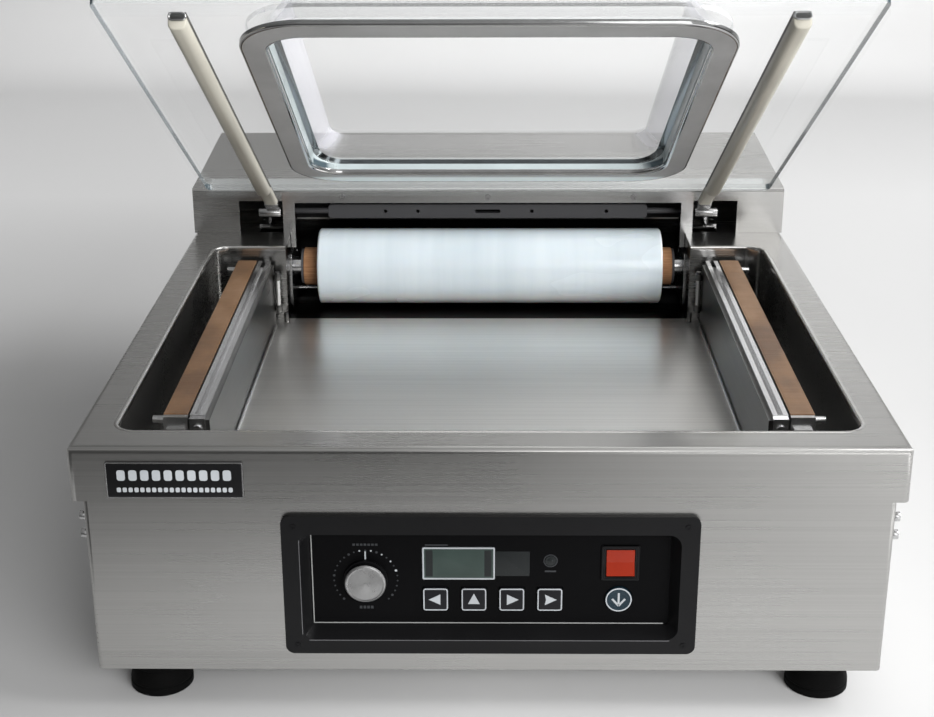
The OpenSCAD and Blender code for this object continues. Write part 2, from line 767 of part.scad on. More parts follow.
module film_roll() {
    color("whitesmoke") difference() {
        rod_x(film_shift - film_x, film_shift + film_x, roll_y, roll_z, film_r);
        rod_x(-core_x, core_x, roll_y, roll_z, core_r);
    }
}

module roll_core() {
    color("peru") difference() {
        rod_x(-core_x, core_x, roll_y, roll_z, core_r);
        rod_x(-core_x - 1, core_x + 1, roll_y, roll_z, core_r - 2.5);
    }
}

module roll_chucks() {
    color([0.3, 0.3, 0.32]) both_sides() difference() {
        union() {
            rod_x(core_x - 14, core_x, roll_y, roll_z, core_r - 2.5);
            rod_x(core_x, core_x + 2, roll_y, roll_z, core_r - 1);
        }
        rod_x(core_x - 15, core_x + 5, roll_y, roll_z, spindle_r + run_fit);
    }
}

module roll_spindles() {
    color("silver") {
        both_sides() {
            rod_x(core_x - 12, well_x - holder_t, roll_y, roll_z, spindle_r);
            difference() {
                wall_yz(well_x - holder_t, well_x)
                    round_rect(roll_y - 14, well_y1 - 6, floor_z + 2, roll_z + 14, 4);
                rod_x(well_x - 5, well_x + 5, well_y1 - 20, roll_z + 6, 1.8);
            }
        }
        // Guide rod under the film
        rod_x(-well_x + holder_t, well_x - holder_t, roll_y + 33, floor_z + 5, 2.2);
    }
}

// ---------- working parts under the chamber ----------

module vacuum_pump() {
    color("slategray") difference() {
        union() {
            box(-40, 70, 0, 120, pump_z, pump_z + 70);
            for (i = [0 : 6]) box(-30 + i * 14, -26 + i * 14, 10, 110, pump_z + 70, pump_z + 78);
            rod_y(120, 130, hose_x, hose_z, 9);
        }
        rod_x(-41, 30, motor_y, motor_z, shaft_r + run_fit);
        rod_y(100, 131, hose_x, hose_z, 5);
    }
}

module pump_motor() {
    color("darkslategray") difference() {
        union() {
            rod_x(-170, -50, motor_y, motor_z, 38);
            box(-160, -60, motor_y - 30, motor_y + 30, pump_z, pump_z + 12);
            rod_x(-50, -40, motor_y, motor_z, 26);
        }
        rod_x(-180, -30, motor_y, motor_z, shaft_r + run_fit);
        for (i = [0 : 9]) rod_x(-162, -58, motor_y + 38 * cos(i * 20), motor_z + 38 * sin(i * 20), 2);
    }
}

// Fan, shaft and pump drive in one turning piece
module motor_fan() {
    blades = 8;
    color("black") {
        rod_x(-174, 20, motor_y, motor_z, shaft_r);
        rod_x(-186, -174, motor_y, motor_z, 13);
        for (i = [0 : blades - 1]) translate([-184, motor_y, motor_z]) rotate([i * 360 / blades, 0, 0])
            translate([0, -1, 11]) cube([8, 2, 23]);
    }
}

module exhaust_filter() {
    color("white") {
        rod_x(85, 175, 230, pump_z + 45, 28);
        rod_x(75, 85, 230, pump_z + 45, 12);
        box(100, 160, 210, 250, pump_z, pump_z + 20);
    }
}

// Suction hose between the pump and the valve
module vacuum_hose() {
    color([0.15, 0.15, 0.16]) difference() {
        union() {
            rod_y(130, valve_y, hose_x, hose_z, 7);
            for (y = [132, valve_y - 8]) rod_y(y, y + 6, hose_x, hose_z, 8);
        }
        rod_y(129, valve_y + 1, hose_x, hose_z, 5);
    }
}

// Valve block behind the roll well, with its port into the chamber and its coil
module solenoid_valve() {
    top = pump_z + 115;
    color("goldenrod") {
        box(hose_x - 20, hose_x + 20, valve_y, valve_y + 44, pump_z + 40, top);
        difference() {
            rod_y(well_y1 + sheet, valve_y, hose_x, port_z, 8);
            rod_y(well_y1, valve_y - 2, hose_x, port_z, 5);
        }
        rod_z(top, top + 34, hose_x, valve_y + 22, 14);
    }
}

module transformer() {
    color("dimgray") {
        box(-190, -110, 200, 270, pump_z, pump_z + 60);
        box(-180, -120, 190, 280, pump_z + 12, pump_z + 48);
    }
}

module power_inlet() {
    h = foot_h + 34;
    color([0.08, 0.08, 0.08]) {
        difference() {
            union() {
                wall_xz(back_y, back_y + 3) round_rect(-18, 18, h - 14, h + 14, 3);
                box(-15, 15, back_y - 22, back_y, h - 12, h + 12);
            }
            wall_xz(back_y - 18, back_y + 4)
                polygon([[-12, h - 9], [12, h - 9], [12, h + 4], [7, h + 9], [-7, h + 9], [-12, h + 4]]);
        }
        for (x = [-6.5, 0, 6.5])
            box(x - 1, x + 1, back_y - 18, back_y - 4, h - 2 + (x == 0 ? 3 : 0), h + 2 + (x == 0 ? 3 : 0));
    }
}

deck_pan();
chamber_tub();
chamber_floor();
guide_panels();
lower_housing();
base_plate();
back_panel();
rear_cover();
rear_frame();
cavity_liner();
film_guide_bar();
rubber_feet();
foot_bolts();
casing_screws();
badge_plate();
guide_rails();
control_bezel();
control_panel();
lcd_display();
display_windows();
control_board();
knob();
knob_cap();
arrow_key_1();
arrow_key_2();
arrow_key_3();
arrow_key_4();
start_button();
switch_frame();
rocker_switch();
hinge_brackets();
hinge_pins();
torsion_springs();
lid_plate();
window_frame();
lid_dome();
lid_gasket();
counter_bars();
hinge_arms();
hinge_bushes();
seal_bar_left();
seal_bar_right();
ptfe_strip_left();
ptfe_strip_right();
heating_element_left();
heating_element_right();
lift_cylinders();
film_roll();
roll_core();
roll_chucks();
roll_spindles();
vacuum_pump();
pump_motor();
motor_fan();
exhaust_filter();
vacuum_hose();
solenoid_valve();
transformer();
power_inlet();
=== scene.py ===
"""Looks of the table-top vacuum packing machine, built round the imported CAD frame.

The scene is in metres, with +Z up and the front towards -Y. The mesh code works in millimetres.
"""
import bmesh
import bpy
import json
import math
import random
from mathutils import Matrix, Vector


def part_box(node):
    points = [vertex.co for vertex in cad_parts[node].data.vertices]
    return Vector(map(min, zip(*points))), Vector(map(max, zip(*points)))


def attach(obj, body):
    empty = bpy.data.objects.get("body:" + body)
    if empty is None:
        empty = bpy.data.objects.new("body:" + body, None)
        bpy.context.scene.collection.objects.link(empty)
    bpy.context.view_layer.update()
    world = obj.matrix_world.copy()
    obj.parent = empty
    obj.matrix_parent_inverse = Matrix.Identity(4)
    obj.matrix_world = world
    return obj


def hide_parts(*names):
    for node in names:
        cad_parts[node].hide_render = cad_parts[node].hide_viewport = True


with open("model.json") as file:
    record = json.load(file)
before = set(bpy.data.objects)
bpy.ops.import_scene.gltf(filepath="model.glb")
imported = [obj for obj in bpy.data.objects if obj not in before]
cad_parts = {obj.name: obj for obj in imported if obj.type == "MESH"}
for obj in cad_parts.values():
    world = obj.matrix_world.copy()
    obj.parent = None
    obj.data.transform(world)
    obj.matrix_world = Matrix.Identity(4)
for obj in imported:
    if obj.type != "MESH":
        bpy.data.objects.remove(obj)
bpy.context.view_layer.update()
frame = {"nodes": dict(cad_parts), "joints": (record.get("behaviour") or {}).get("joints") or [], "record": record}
MM = 0.001
scene = bpy.context.scene
joint = {row["name"]: row for row in frame["joints"]}
HINGE = Vector(joint["lid_hinge"]["pos_m"]) / MM
LID_OPEN = math.radians(joint["lid_hinge"]["range_deg"][1])
LID_POSE = Matrix.Translation(HINGE) @ Matrix.Rotation(-LID_OPEN, 4, "X") @ Matrix.Translation(-HINGE)

# ------------------------------- camera

LENS_MM = 61.24
CAMERA_PLACE = Vector((-0.0027, -1.1608, 0.5627))
CAMERA_PITCH = math.radians(90 - 20.77)
CAMERA_TURN = math.radians(0.67)
CAMERA_ROLL = math.radians(-0.2)


def make_camera():
    data = bpy.data.cameras.new("camera")
    data.sensor_width = 36
    data.lens = LENS_MM
    data.clip_start = 0.05
    cam = bpy.data.objects.new("camera", data)
    scene.collection.objects.link(cam)
    cam.location = CAMERA_PLACE
    turn = Matrix.Rotation(CAMERA_TURN, 3, "Z") @ Matrix.Rotation(CAMERA_PITCH, 3, "X")
    cam.rotation_euler = (turn @ Matrix.Rotation(CAMERA_ROLL, 3, "Z")).to_euler()
    scene.camera = cam


make_camera()

# ------------------------------- node helpers


def set_stops(ramp, stops):
    while len(ramp.elements) < len(stops):
        ramp.elements.new(0.5)
    for element, (place, colour) in zip(ramp.elements, stops):
        element.position = place
        element.color = (*colour, 1)


class Nodes:
    """A short way to write a node tree for one material."""

    def __init__(self, name):
        self.mat = bpy.data.materials.new(name)
        self.mat.use_nodes = True
        self.tree = self.mat.node_tree
        self.bsdf = self.tree.nodes["Principled BSDF"]
        self.coords = self.tree.nodes.new("ShaderNodeTexCoord").outputs["Object"]

    def new(self, kind, **values):
        node = self.tree.nodes.new("ShaderNode" + kind)
        for key, value in values.items():
            setattr(node, key, value)
        return node

    def link(self, a, b):
        self.tree.links.new(a, b)

    def set(self, **values):
        for key, value in values.items():
            self.bsdf.inputs[key.replace("_", " ")].default_value = value

    def scaled(self, scale, turn=(0, 0, 0)):
        node = self.new("Mapping")
        node.inputs["Scale"].default_value = scale
        node.inputs["Rotation"].default_value = turn
        self.link(self.coords, node.inputs["Vector"])
        return node.outputs["Vector"]

    def axis(self, name):
        split = self.new("SeparateXYZ")
        self.link(self.coords, split.inputs[0])
        return split.outputs[name]

    def noise(self, scale, detail=3.0, turn=(0, 0, 0), rough=0.5):
        node = self.new("TexNoise")
        node.inputs["Scale"].default_value = 1.0
        node.inputs["Detail"].default_value = detail
        node.inputs["Roughness"].default_value = rough
        self.link(self.scaled(scale, turn), node.inputs["Vector"])
        return node.outputs["Fac"]

    def ramp(self, fac, *stops):
        node = self.new("ValToRGB")
        set_stops(node.color_ramp, stops)
        self.link(fac, node.inputs["Fac"])
        return node.outputs["Color"]

    def span(self, fac, low, high, from_low=0.0, from_high=1.0):
        node = self.new("MapRange")
        ends = {"From Min": from_low, "From Max": from_high, "To Min": low, "To Max": high}
        for key, value in ends.items():
            node.inputs[key].default_value = value
        self.link(fac, node.inputs["Value"])
        return node.outputs["Result"]

    def maths(self, operation, a, b):
        node = self.new("Math", operation=operation)
        for socket, value in zip(node.inputs, (a, b)):
            if isinstance(value, (int, float)):
                socket.default_value = value
            else:
                self.link(value, socket)
        return node.outputs[0]

    def mix(self, fac, a, b):
        node = self.new("Mix", data_type="RGBA")
        for socket, value in ((node.inputs[0], fac), (node.inputs[6], a), (node.inputs[7], b)):
            if isinstance(value, (int, float)):
                socket.default_value = value
            elif isinstance(value, tuple):
                socket.default_value = (*value, 1)
            else:
                self.link(value, socket)
        return node.outputs[2]

    def bump(self, height, strength=0.2, distance=0.001, under=None):
        node = self.new("Bump")
        node.inputs["Strength"].default_value = strength
        node.inputs["Distance"].default_value = distance
        self.link(height, node.inputs["Height"])
        if under is not None:
            self.link(under, node.inputs["Normal"])
        self.link(node.outputs["Normal"], self.bsdf.inputs["Normal"])
        return node.outputs["Normal"]

    def colour(self, socket):
        self.link(socket, self.bsdf.inputs["Base Color"])

    def rough(self, socket):
        self.link(socket, self.bsdf.inputs["Roughness"])


# ------------------------------- materials

NEUTRAL = (1, 1, 1)
WARM_STEEL = (1.0, 0.99, 0.965)
# Near black painted shade that metal takes behind a given place, a paler tone that it takes behind another, and
# the length over which each sets in, in metres
PAINTED_SHADE = (0.012, 0.012, 0.012)
PAINTED_SHADE_EDGE = 0.006
PALE = (0.92, 1.0, 1.0)
PALE_EDGE = 0.004
MATERIALS = {}


def add_material(make, name, *values, **options):
    MATERIALS[name] = make(name, *values, **options)


def shade(tone, tint=NEUTRAL):
    return tuple(min(1.0, tone * t) for t in tint)


def brushed(name, tone, rough, grain=(3, 900, 900), depth=0.06, smudge=0.06, tint=WARM_STEEL, dark_from=None):
    """Rolled sheet with a fine brushed grain and soft smudges. Behind a given place it is painted near black, a
    painted shade for the deep roll well.
    """
    n = Nodes(name)
    fine = n.noise(grain, detail=2.0)
    coarse = n.noise((grain[0] * 0.5, grain[1] * 0.3, grain[2] * 0.3), detail=3.0)
    patch = n.noise((5, 5, 5), detail=3.0, rough=0.55)
    streak = n.maths("ADD", n.maths("MULTIPLY", fine, 0.75), n.maths("MULTIPLY", coarse, 0.25))
    base = n.ramp(streak, (0.3, shade(tone * 0.93, tint)), (0.7, shade(tone * 1.06, tint)))
    base = n.mix(n.span(patch, 0.0, smudge, 0.4, 0.75), base, shade(tone * 0.7, tint))
    if dark_from is not None:
        # Painted shade: near black behind the given place, where the roll well lies in deep shade
        base = n.mix(n.span(n.axis("Y"), 0.0, 0.97, dark_from, dark_from + PAINTED_SHADE_EDGE), base, PAINTED_SHADE)
    n.colour(base)
    n.rough(n.maths("ADD", n.span(streak, rough - 0.05, rough + 0.06), n.span(patch, -0.03, 0.04, 0.3, 0.7)))
    n.bump(streak, strength=depth, distance=0.0003)
    n.set(Metallic=1.0)
    return n.mat


def bright_metal(name, tone, rough, tint=NEUTRAL):
    """Polished or machined metal with faint haze and scratches."""
    n = Nodes(name)
    haze = n.noise((60, 60, 60), detail=5.0, rough=0.65)
    scratch = n.noise((120, 1800, 240), detail=2.0, turn=(0.3, 0.2, 0.5))
    n.colour(n.ramp(haze, (0.3, shade(tone * 0.82, tint)), (0.72, shade(tone, tint))))
    n.rough(n.maths("ADD", n.span(haze, rough * 0.6, rough * 1.5), n.span(scratch, -0.03, 0.06)))
    n.bump(scratch, strength=0.06, distance=0.0003)
    n.set(Metallic=1.0)
    return n.mat


def turned_metal(name, tone, rough):
    """Lathe-turned metal: the shine fans out from the middle over fine dents."""
    n = Nodes(name)
    dents = n.noise((160, 160, 160), detail=4.0, rough=0.6)
    n.colour(n.ramp(dents, (0.3, shade(tone * 0.86)), (0.7, shade(tone * 1.04))))
    n.rough(n.span(dents, rough - 0.06, rough + 0.08))
    tangent = n.new("Tangent", direction_type="RADIAL", axis="Y")
    n.link(tangent.outputs["Tangent"], n.bsdf.inputs["Tangent"])
    n.bump(dents, strength=0.05, distance=0.0002)
    n.set(Metallic=1.0, Anisotropic=0.85)
    return n.mat


def plastic(name, colour, rough, grain=1500, bump=0.08, vary=0.12, coat=0.0, shine=0.3):
    """Moulded plastic or rubber: a fine texture and slight mottling."""
    n = Nodes(name)
    mottle = n.noise((18, 18, 18), detail=4.0)
    fine = n.noise((grain, grain, grain), detail=2.0)
    n.colour(n.ramp(mottle, (0.3, shade(1 - vary, colour)), (0.7, shade(1 + vary, colour))))
    n.rough(n.maths("ADD", n.span(mottle, rough - 0.06, rough + 0.08), n.span(fine, -0.04, 0.04)))
    n.bump(fine, strength=bump, distance=0.0002)
    n.set(Coat_Weight=coat, Coat_Roughness=0.08, Specular_IOR_Level=shine)
    return n.mat


def closed_low_high(node_name):
    """Lowest and highest corner of a lid node with the lid closed, in millimetres."""
    back = LID_POSE.inverted()
    points = [back @ (v.co / MM) for v in frame["nodes"][node_name].data.vertices]
    return (Vector(min(p[i] for p in points) for i in range(3)),
            Vector(max(p[i] for p in points) for i in range(3)))


# Normal of the open lid, and how far along it the underside of its plate lies, in metres
LID_UP = (0, math.sin(LID_OPEN), math.cos(LID_OPEN))
LID_UNDER = (LID_POSE @ Vector((0, 0, closed_low_high("lid_plate")[0].z))).dot(Vector(LID_UP)) * MM
WINDOW_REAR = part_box("window_frame")[1].y
# The dark line seen along the edges of the plate fades out between these two heights above the underside,
# and the tones of the wiped faces
LINE_FADE = (0.0042, 0.0056)
WIPED = ((0.3, (0.72, 0.76, 0.77)), (0.8, (0.80, 0.83, 0.84)))


def clear(name, haze, grazing, side_colour, side, end_colour, end, line=None):
    """Clear acrylic seen as a thin pane: faint haze, more shine at a glance, tinted edges and walls. The tint is
    the acrylic's own on the plate, and painted reflection on the pale side walls of the dome.

    Its walls are the faces that don't lie in the plane of the lid. Those that face left or right take
    side_colour and the opacity side, and the others end_colour and end. A line darkens the foot of the walls.
    """
    n = Nodes(name)
    wipe = n.noise((14, 90, 30), detail=4.0, turn=(0, 0, 0.5), rough=0.6)
    weight = n.new("LayerWeight")
    weight.inputs["Blend"].default_value = 0.5
    coords = n.new("TexCoord")
    facing = n.new("VectorMath", operation="DOT_PRODUCT")
    n.link(coords.outputs["Normal"], facing.inputs[0])
    facing.inputs[1].default_value = LID_UP
    across = n.new("SeparateXYZ")
    n.link(coords.outputs["Normal"], across.inputs[0])
    flat = n.span(n.maths("ABSOLUTE", facing.outputs["Value"], 0), 0.0, 1.0, 0.75, 0.95)
    sideways = n.span(n.maths("ABSOLUTE", across.outputs["X"], 0), 0.0, 1.0, 0.3, 0.6)
    walls = n.mix(sideways, end_colour, side_colour)
    alpha = n.span(sideways, end, side)
    if line is not None:
        depth = n.new("VectorMath", operation="DOT_PRODUCT")
        n.link(n.coords, depth.inputs[0])
        depth.inputs[1].default_value = LID_UP
        close = n.span(depth.outputs["Value"], 1.0, 0.0, *(LID_UNDER + height for height in LINE_FADE))
        close = n.maths("MULTIPLY", close, n.span(sideways, 0.25, 1.0))
        walls = n.mix(close, walls, line)
        alpha = n.maths("MAXIMUM", alpha, n.maths("MULTIPLY", close, 0.95))
    n.colour(n.mix(flat, walls, n.ramp(wipe, *WIPED)))
    sheen = n.span(weight.outputs["Facing"], haze, grazing, 0.55, 1.0)
    n.link(n.maths("ADD", n.maths("MULTIPLY", sheen, flat),
                   n.maths("MULTIPLY", n.maths("SUBTRACT", 1.0, flat), alpha)), n.bsdf.inputs["Alpha"])
    n.rough(n.span(wipe, 0.015, 0.05, 0.35, 0.75))
    n.bump(wipe, strength=0.01, distance=0.0003)
    n.set(IOR=1.47)
    return n.mat


def satin(name, tone, metal=0.5, rough=0.5, tint=NEUTRAL, pale_from=None):
    """Bead-blasted metal with a fine pitted grain and handling marks. Behind pale_from it is paler."""
    n = Nodes(name)
    grain = n.noise((900, 900, 900), detail=2.0)
    marks = n.noise((22, 22, 22), detail=5.0, rough=0.6)
    base = n.ramp(marks, (0.3, shade(tone * 0.86, tint)), (0.7, shade(tone * 1.05, tint)))
    if pale_from is not None:
        base = n.mix(n.span(n.axis("Y"), 0.0, 1.0, pale_from, pale_from + PALE_EDGE), base, PALE)
    n.colour(base)
    n.rough(n.maths("ADD", n.span(marks, rough - 0.06, rough + 0.06), n.span(grain, -0.05, 0.05)))
    n.bump(grain, strength=0.1, distance=0.0002)
    n.set(Metallic=metal, Specular_IOR_Level=0.3)
    return n.mat


def ptfe():
    """Brown glass cloth with a PTFE skin: a fine weave, heat stains and creases across."""
    n = Nodes("ptfe_cloth")
    stain = n.noise((14, 9, 14), detail=5.0, rough=0.62)
    crease = n.noise((8, 160, 8), detail=3.0)
    threads = []
    for direction, distortion in (("X", 0.4), ("Y", 0.0)):
        wave = n.new("TexWave", wave_type="BANDS", bands_direction=direction)
        wave.inputs["Scale"].default_value = 1.0
        wave.inputs["Distortion"].default_value = distortion
        n.link(n.scaled((520, 520, 520)), wave.inputs["Vector"])
        threads.append(wave.outputs["Fac"])
    cloth = n.maths("MULTIPLY", *threads)
    base = n.ramp(stain, (0.36, (0.12, 0.062, 0.03)), (0.5, (0.21, 0.115, 0.055)),
                  (0.66, (0.31, 0.19, 0.115)))
    n.colour(n.mix(n.span(cloth, 0.0, 0.25), base, (0.13, 0.065, 0.03)))
    n.rough(n.span(stain, 0.34, 0.55))
    first = n.bump(cloth, strength=0.12, distance=0.0002)
    n.bump(crease, strength=0.25, distance=0.0012, under=first)
    return n.mat


def film():
    """White shine of wound clear film: broad bands round the roll, painted in the colour as lighter and darker
    streaks of sheen on top of the film's own uneven whiteness, and faint ripples along it.
    """
    n = Nodes("wound_film")
    band = n.noise((38, 2.5, 2.5), detail=4.0, rough=0.6)
    ripple = n.noise((420, 12, 12), detail=2.0)
    cloud = n.noise((9, 20, 20), detail=2.0)
    # Painted sheen: the bands round the roll are lighter and darker streaks in the colour, with the film's own
    # uneven whiteness
    n.colour(n.ramp(n.maths("ADD", n.maths("MULTIPLY", band, 0.6), n.maths("MULTIPLY", cloud, 0.4)),
                    (0.2, (0.63, 0.645, 0.655)), (0.5, (0.75, 0.755, 0.755)), (0.8, (0.85, 0.845, 0.83))))
    n.rough(n.span(cloud, 0.16, 0.36))
    first = n.bump(ripple, strength=0.07, distance=0.0004)
    n.bump(band, strength=0.12, distance=0.004, under=first)
    n.set(Coat_Weight=0.8, Coat_Roughness=0.10, Subsurface_Weight=0.25, Subsurface_Scale=0.02)
    return n.mat


def cardboard():
    """Spiral wound card: fibres and scuffs."""
    n = Nodes("core_card")
    fibre = n.noise((60, 700, 700), detail=3.0)
    scuff = n.noise((40, 40, 40), detail=4.0)
    base = n.ramp(fibre, (0.3, (0.25, 0.12, 0.055)), (0.7, (0.40, 0.21, 0.105)))
    n.colour(n.mix(n.span(scuff, 0.0, 0.5, 0.5, 0.8), base, (0.47, 0.28, 0.16)))
    n.rough(n.span(scuff, 0.7, 0.9))
    n.bump(fibre, strength=0.25, distance=0.0004)
    return n.mat


def dark_paint(name, colour, rough=0.5):
    """Powder coat: orange peel, with rubbed lighter places."""
    n = Nodes(name)
    peel = n.noise((900, 900, 900), detail=1.0)
    rub = n.noise((30, 30, 30), detail=5.0, rough=0.7)
    rubbed = tuple(min(1, c * 2.2 + 0.02) for c in colour)
    n.colour(n.mix(n.span(rub, 0.0, 0.35, 0.62, 0.8), colour, rubbed))
    n.rough(n.span(rub, rough - 0.1, rough + 0.15))
    n.bump(peel, strength=0.15, distance=0.0003)
    return n.mat


# How far the pale rear run of the window frame reaches forward, in metres
FLANGE_DEPTH = 0.016

add_material(brushed, "brushed_steel", 0.50, 0.27)
add_material(brushed, "side_steel", 0.50, 0.27, grain=(900, 3, 900))
add_material(brushed, "floor_steel", 0.82, 0.32, grain=(4, 500, 500), depth=0.03, smudge=0.1)
# The tub is painted near black towards its rear, over the roll well, as painted shade
add_material(brushed, "tub_steel", 0.36, 0.28, dark_from=0.104)
add_material(brushed, "panel_steel", 0.15, 0.3, grain=(700, 5, 700))
add_material(brushed, "satin_steel", 0.42, 0.3, grain=(900, 6, 900))
add_material(brushed, "bright_steel", 0.66, 0.24, grain=(5, 800, 800), depth=0.05, tint=NEUTRAL)
add_material(bright_metal, "screw_steel", 0.62, 0.22)
add_material(brushed, "rail_aluminium", 0.74, 0.2, grain=(700, 5, 700), depth=0.04, tint=(1, 1, 1.01))
add_material(brushed, "bar_aluminium", 0.6, 0.3, grain=(700, 5, 700), depth=0.06, tint=NEUTRAL)
add_material(brushed, "frame_polished", 0.50, 0.20, grain=(300, 300, 300), depth=0.03, tint=NEUTRAL)
add_material(bright_metal, "cap_dark", 0.16, 0.2)
add_material(bright_metal, "frame_chrome", 0.5, 0.08)
add_material(turned_metal, "knob_metal", 0.46, 0.28)
add_material(bright_metal, "bush_brass", 0.7, 0.25, tint=(1.0, 0.76, 0.38))
add_material(bright_metal, "valve_brass", 0.62, 0.3, tint=(1.0, 0.78, 0.42))
add_material(bright_metal, "cylinder_metal", 0.4, 0.35)
add_material(brushed, "element", 0.3, 0.4, grain=(500, 5, 500))
add_material(dark_paint, "dark_liner", (0.006, 0.006, 0.0065), 0.7)
add_material(dark_paint, "dark_bar", (0.055, 0.055, 0.058), 0.42)
add_material(dark_paint, "motor_paint", (0.05, 0.085, 0.12), 0.45)
add_material(dark_paint, "pump_cast", (0.2, 0.23, 0.26), 0.55)
add_material(dark_paint, "transformer_steel", (0.12, 0.11, 0.1), 0.5)
add_material(plastic, "foot_rubber", (0.003, 0.003, 0.003), 0.6, grain=700, bump=0.2, shine=0.06)
add_material(plastic, "hose_black", (0.03, 0.03, 0.032), 0.55, grain=500)
add_material(plastic, "badge_black", (0.006, 0.006, 0.0065), 0.3)
add_material(plastic, "bezel_black", (0.006, 0.006, 0.0065), 0.34, grain=1300, bump=0.12, shine=0.2)
add_material(plastic, "panel_black", (0.003, 0.003, 0.0033), 0.36, grain=1800, bump=0.05, shine=0.05)
add_material(plastic, "lcd", (0.042, 0.062, 0.055), 0.22, grain=60, bump=0.0, shine=0.3, vary=0.3)
add_material(plastic, "dark_window", (0.012, 0.014, 0.0145), 0.25, bump=0.02, shine=0.3)
add_material(plastic, "board_green", (0.02, 0.12, 0.045), 0.35)
add_material(plastic, "knob_black", (0.005, 0.005, 0.0055), 0.4, shine=0.2)
add_material(plastic, "key_black", (0.007, 0.007, 0.009), 0.35, shine=0.25)
add_material(plastic, "start_blue", (0.006, 0.018, 0.028), 0.25, coat=0.2)
add_material(plastic, "rocker_red", (0.21, 0.016, 0.005), 0.18, bump=0.02, vary=0.25)
add_material(clear, "gasket_clear", 0.01, 0.02, (0.6, 0.65, 0.65), 0.03, (0.6, 0.65, 0.65), 0.03)
add_material(plastic, "bar_cream", (0.45, 0.43, 0.37), 0.34, grain=600, bump=0.1, vary=0.08)
add_material(plastic, "chuck_grey", (0.08, 0.08, 0.085), 0.4)
add_material(plastic, "fan_black", (0.02, 0.02, 0.02), 0.5)
add_material(plastic, "filter_white", (0.72, 0.72, 0.7), 0.45)
add_material(plastic, "inlet_black", (0.015, 0.015, 0.016), 0.45)
add_material(plastic, "marking", (0.40, 0.42, 0.44), 0.5)
add_material(plastic, "marking_dim", (0.032, 0.034, 0.037), 0.5)
MATERIALS["ptfe_brown"] = ptfe()
MATERIALS["film_white"] = film()
MATERIALS["cardboard"] = cardboard()
add_material(clear, "clear_acrylic", 0.03, 0.09, (0.62, 0.68, 0.68), 0.12, (0.66, 0.70, 0.70), 0.35,
             line=(0.05, 0.075, 0.09))
# The dome's pale side walls are painted reflection
add_material(clear, "dome_acrylic", 0.03, 0.12, (0.86, 0.86, 0.93), 0.30, (0.42, 0.42, 0.42), 0.22)
add_material(plastic, "edge_pale", (0.44, 0.50, 0.51), 0.2, bump=0.03, shine=0.5)
add_material(bright_metal, "root_dark", 0.22, 0.12, tint=(0.85, 0.95, 1.0))
add_material(satin, "frame_satin", 0.46, pale_from=WINDOW_REAR - FLANGE_DEPTH)
add_material(satin, "channel_dark", 0.07, metal=0.3, tint=(1.0, 0.93, 0.84))
# Greys of the painted highlight lines along the panel's and the bezel's edges
add_material(plastic, "panel_edge", (0.30, 0.305, 0.30), 0.35)
add_material(plastic, "bezel_edge", (0.10, 0.10, 0.105), 0.3)
add_material(brushed, "rim_steel", 0.62, 0.2, depth=0.03)

slot_of = {row["node"]: row["material_slot"] for row in frame["record"]["subparts"]}


def paint(obj, name):
    obj.data.materials.clear()
    obj.data.materials.append(MATERIALS[name])


for node_name, node in frame["nodes"].items():
    paint(node, slot_of[node_name])
for node_name, name in (("hinge_arms", "screw_steel"), ("chamber_tub", "tub_steel"),
                        ("guide_panels", "panel_steel")):
    paint(frame["nodes"][node_name], name)

# ------------------------------- light and stage

# Brightness of the world from left to right and from below to above
WORLD_ACROSS = ((0.0, 0.18), (0.4, 0.34), (0.62, 0.78), (1.0, 1.0))
WORLD_UP = ((0.0, 0.13), (0.5, 0.21), (0.66, 0.72), (1.0, 0.88))
WORLD_STRENGTH = 1.1
# Grey of the paper from left to right on the floor, far behind, on the wall and in front of the machine,
# over the width PAPER_SPAN, and the places and heights between which one blends into the next. The greys are
# painted light and shade: painted shade to the left and in front on the left, painted light to the right and far
# behind
FLOOR_ACROSS = ((0.0, 0.42), (0.36, 0.40), (0.5, 0.76), (0.7, 0.52))
FAR_ACROSS = ((0.0, 0.86), (0.4, 0.84), (0.7, 0.76))
WALL_ACROSS = ((0.0, 0.26), (0.42, 0.38), (0.54, 0.50), (0.64, 0.76))
FRONT_ACROSS = ((0.3, 0.01), (0.5, 0.025), (0.59, 0.46), (0.73, 1.0))
PAPER_SPAN = (-1.6, 1.6)
FAR_BLEND = (0.2, 0.95)
WALL_BLEND = (-0.04, 0.30)
FRONT_BLEND = (-0.72, -0.42)
# The backdrop reaches this far each way, bends up behind the machine and rises as a wall
BACKDROP_HALF = 6.0
BACKDROP_BEND_FROM = 2.2
BACKDROP_BEND = 1.2
BACKDROP_RISE = 4.0
# Name, place, target, size, power and whether metal mirrors it
AREA_LIGHTS = (
    ("key", (1.9, -0.3, 1.7), (0, 0, 0.12), (1.3, 1.1), 38, True),
    ("top", (0.5, 0.9, 2.1), (0, 0.0, 0.1), (1.8, 0.8), 5, True),
    ("front", (1.2, -2.3, 0.85), (0, 0, 0.15), (1.6, 1.2), 62, False),
    ("card", (0.75, -2.2, 1.15), (0.2, 0, 0.2), (0.9, 1.0), 7, True),
    ("wall", (0.2, 1.5, 1.1), (0.3, 3.4, 1.3), (1.8, 0.8), 26, False),
)


def area_light(name, place, target, size, power, mirrored):
    data = bpy.data.lights.new(name, "AREA")
    data.shape = "RECTANGLE"
    data.size, data.size_y = size
    data.energy = power
    light = bpy.data.objects.new(name, data)
    scene.collection.objects.link(light)
    light.location = place
    light.rotation_euler = (Vector(target) - Vector(place)).to_track_quat("-Z", "Y").to_euler()
    light.visible_glossy = mirrored


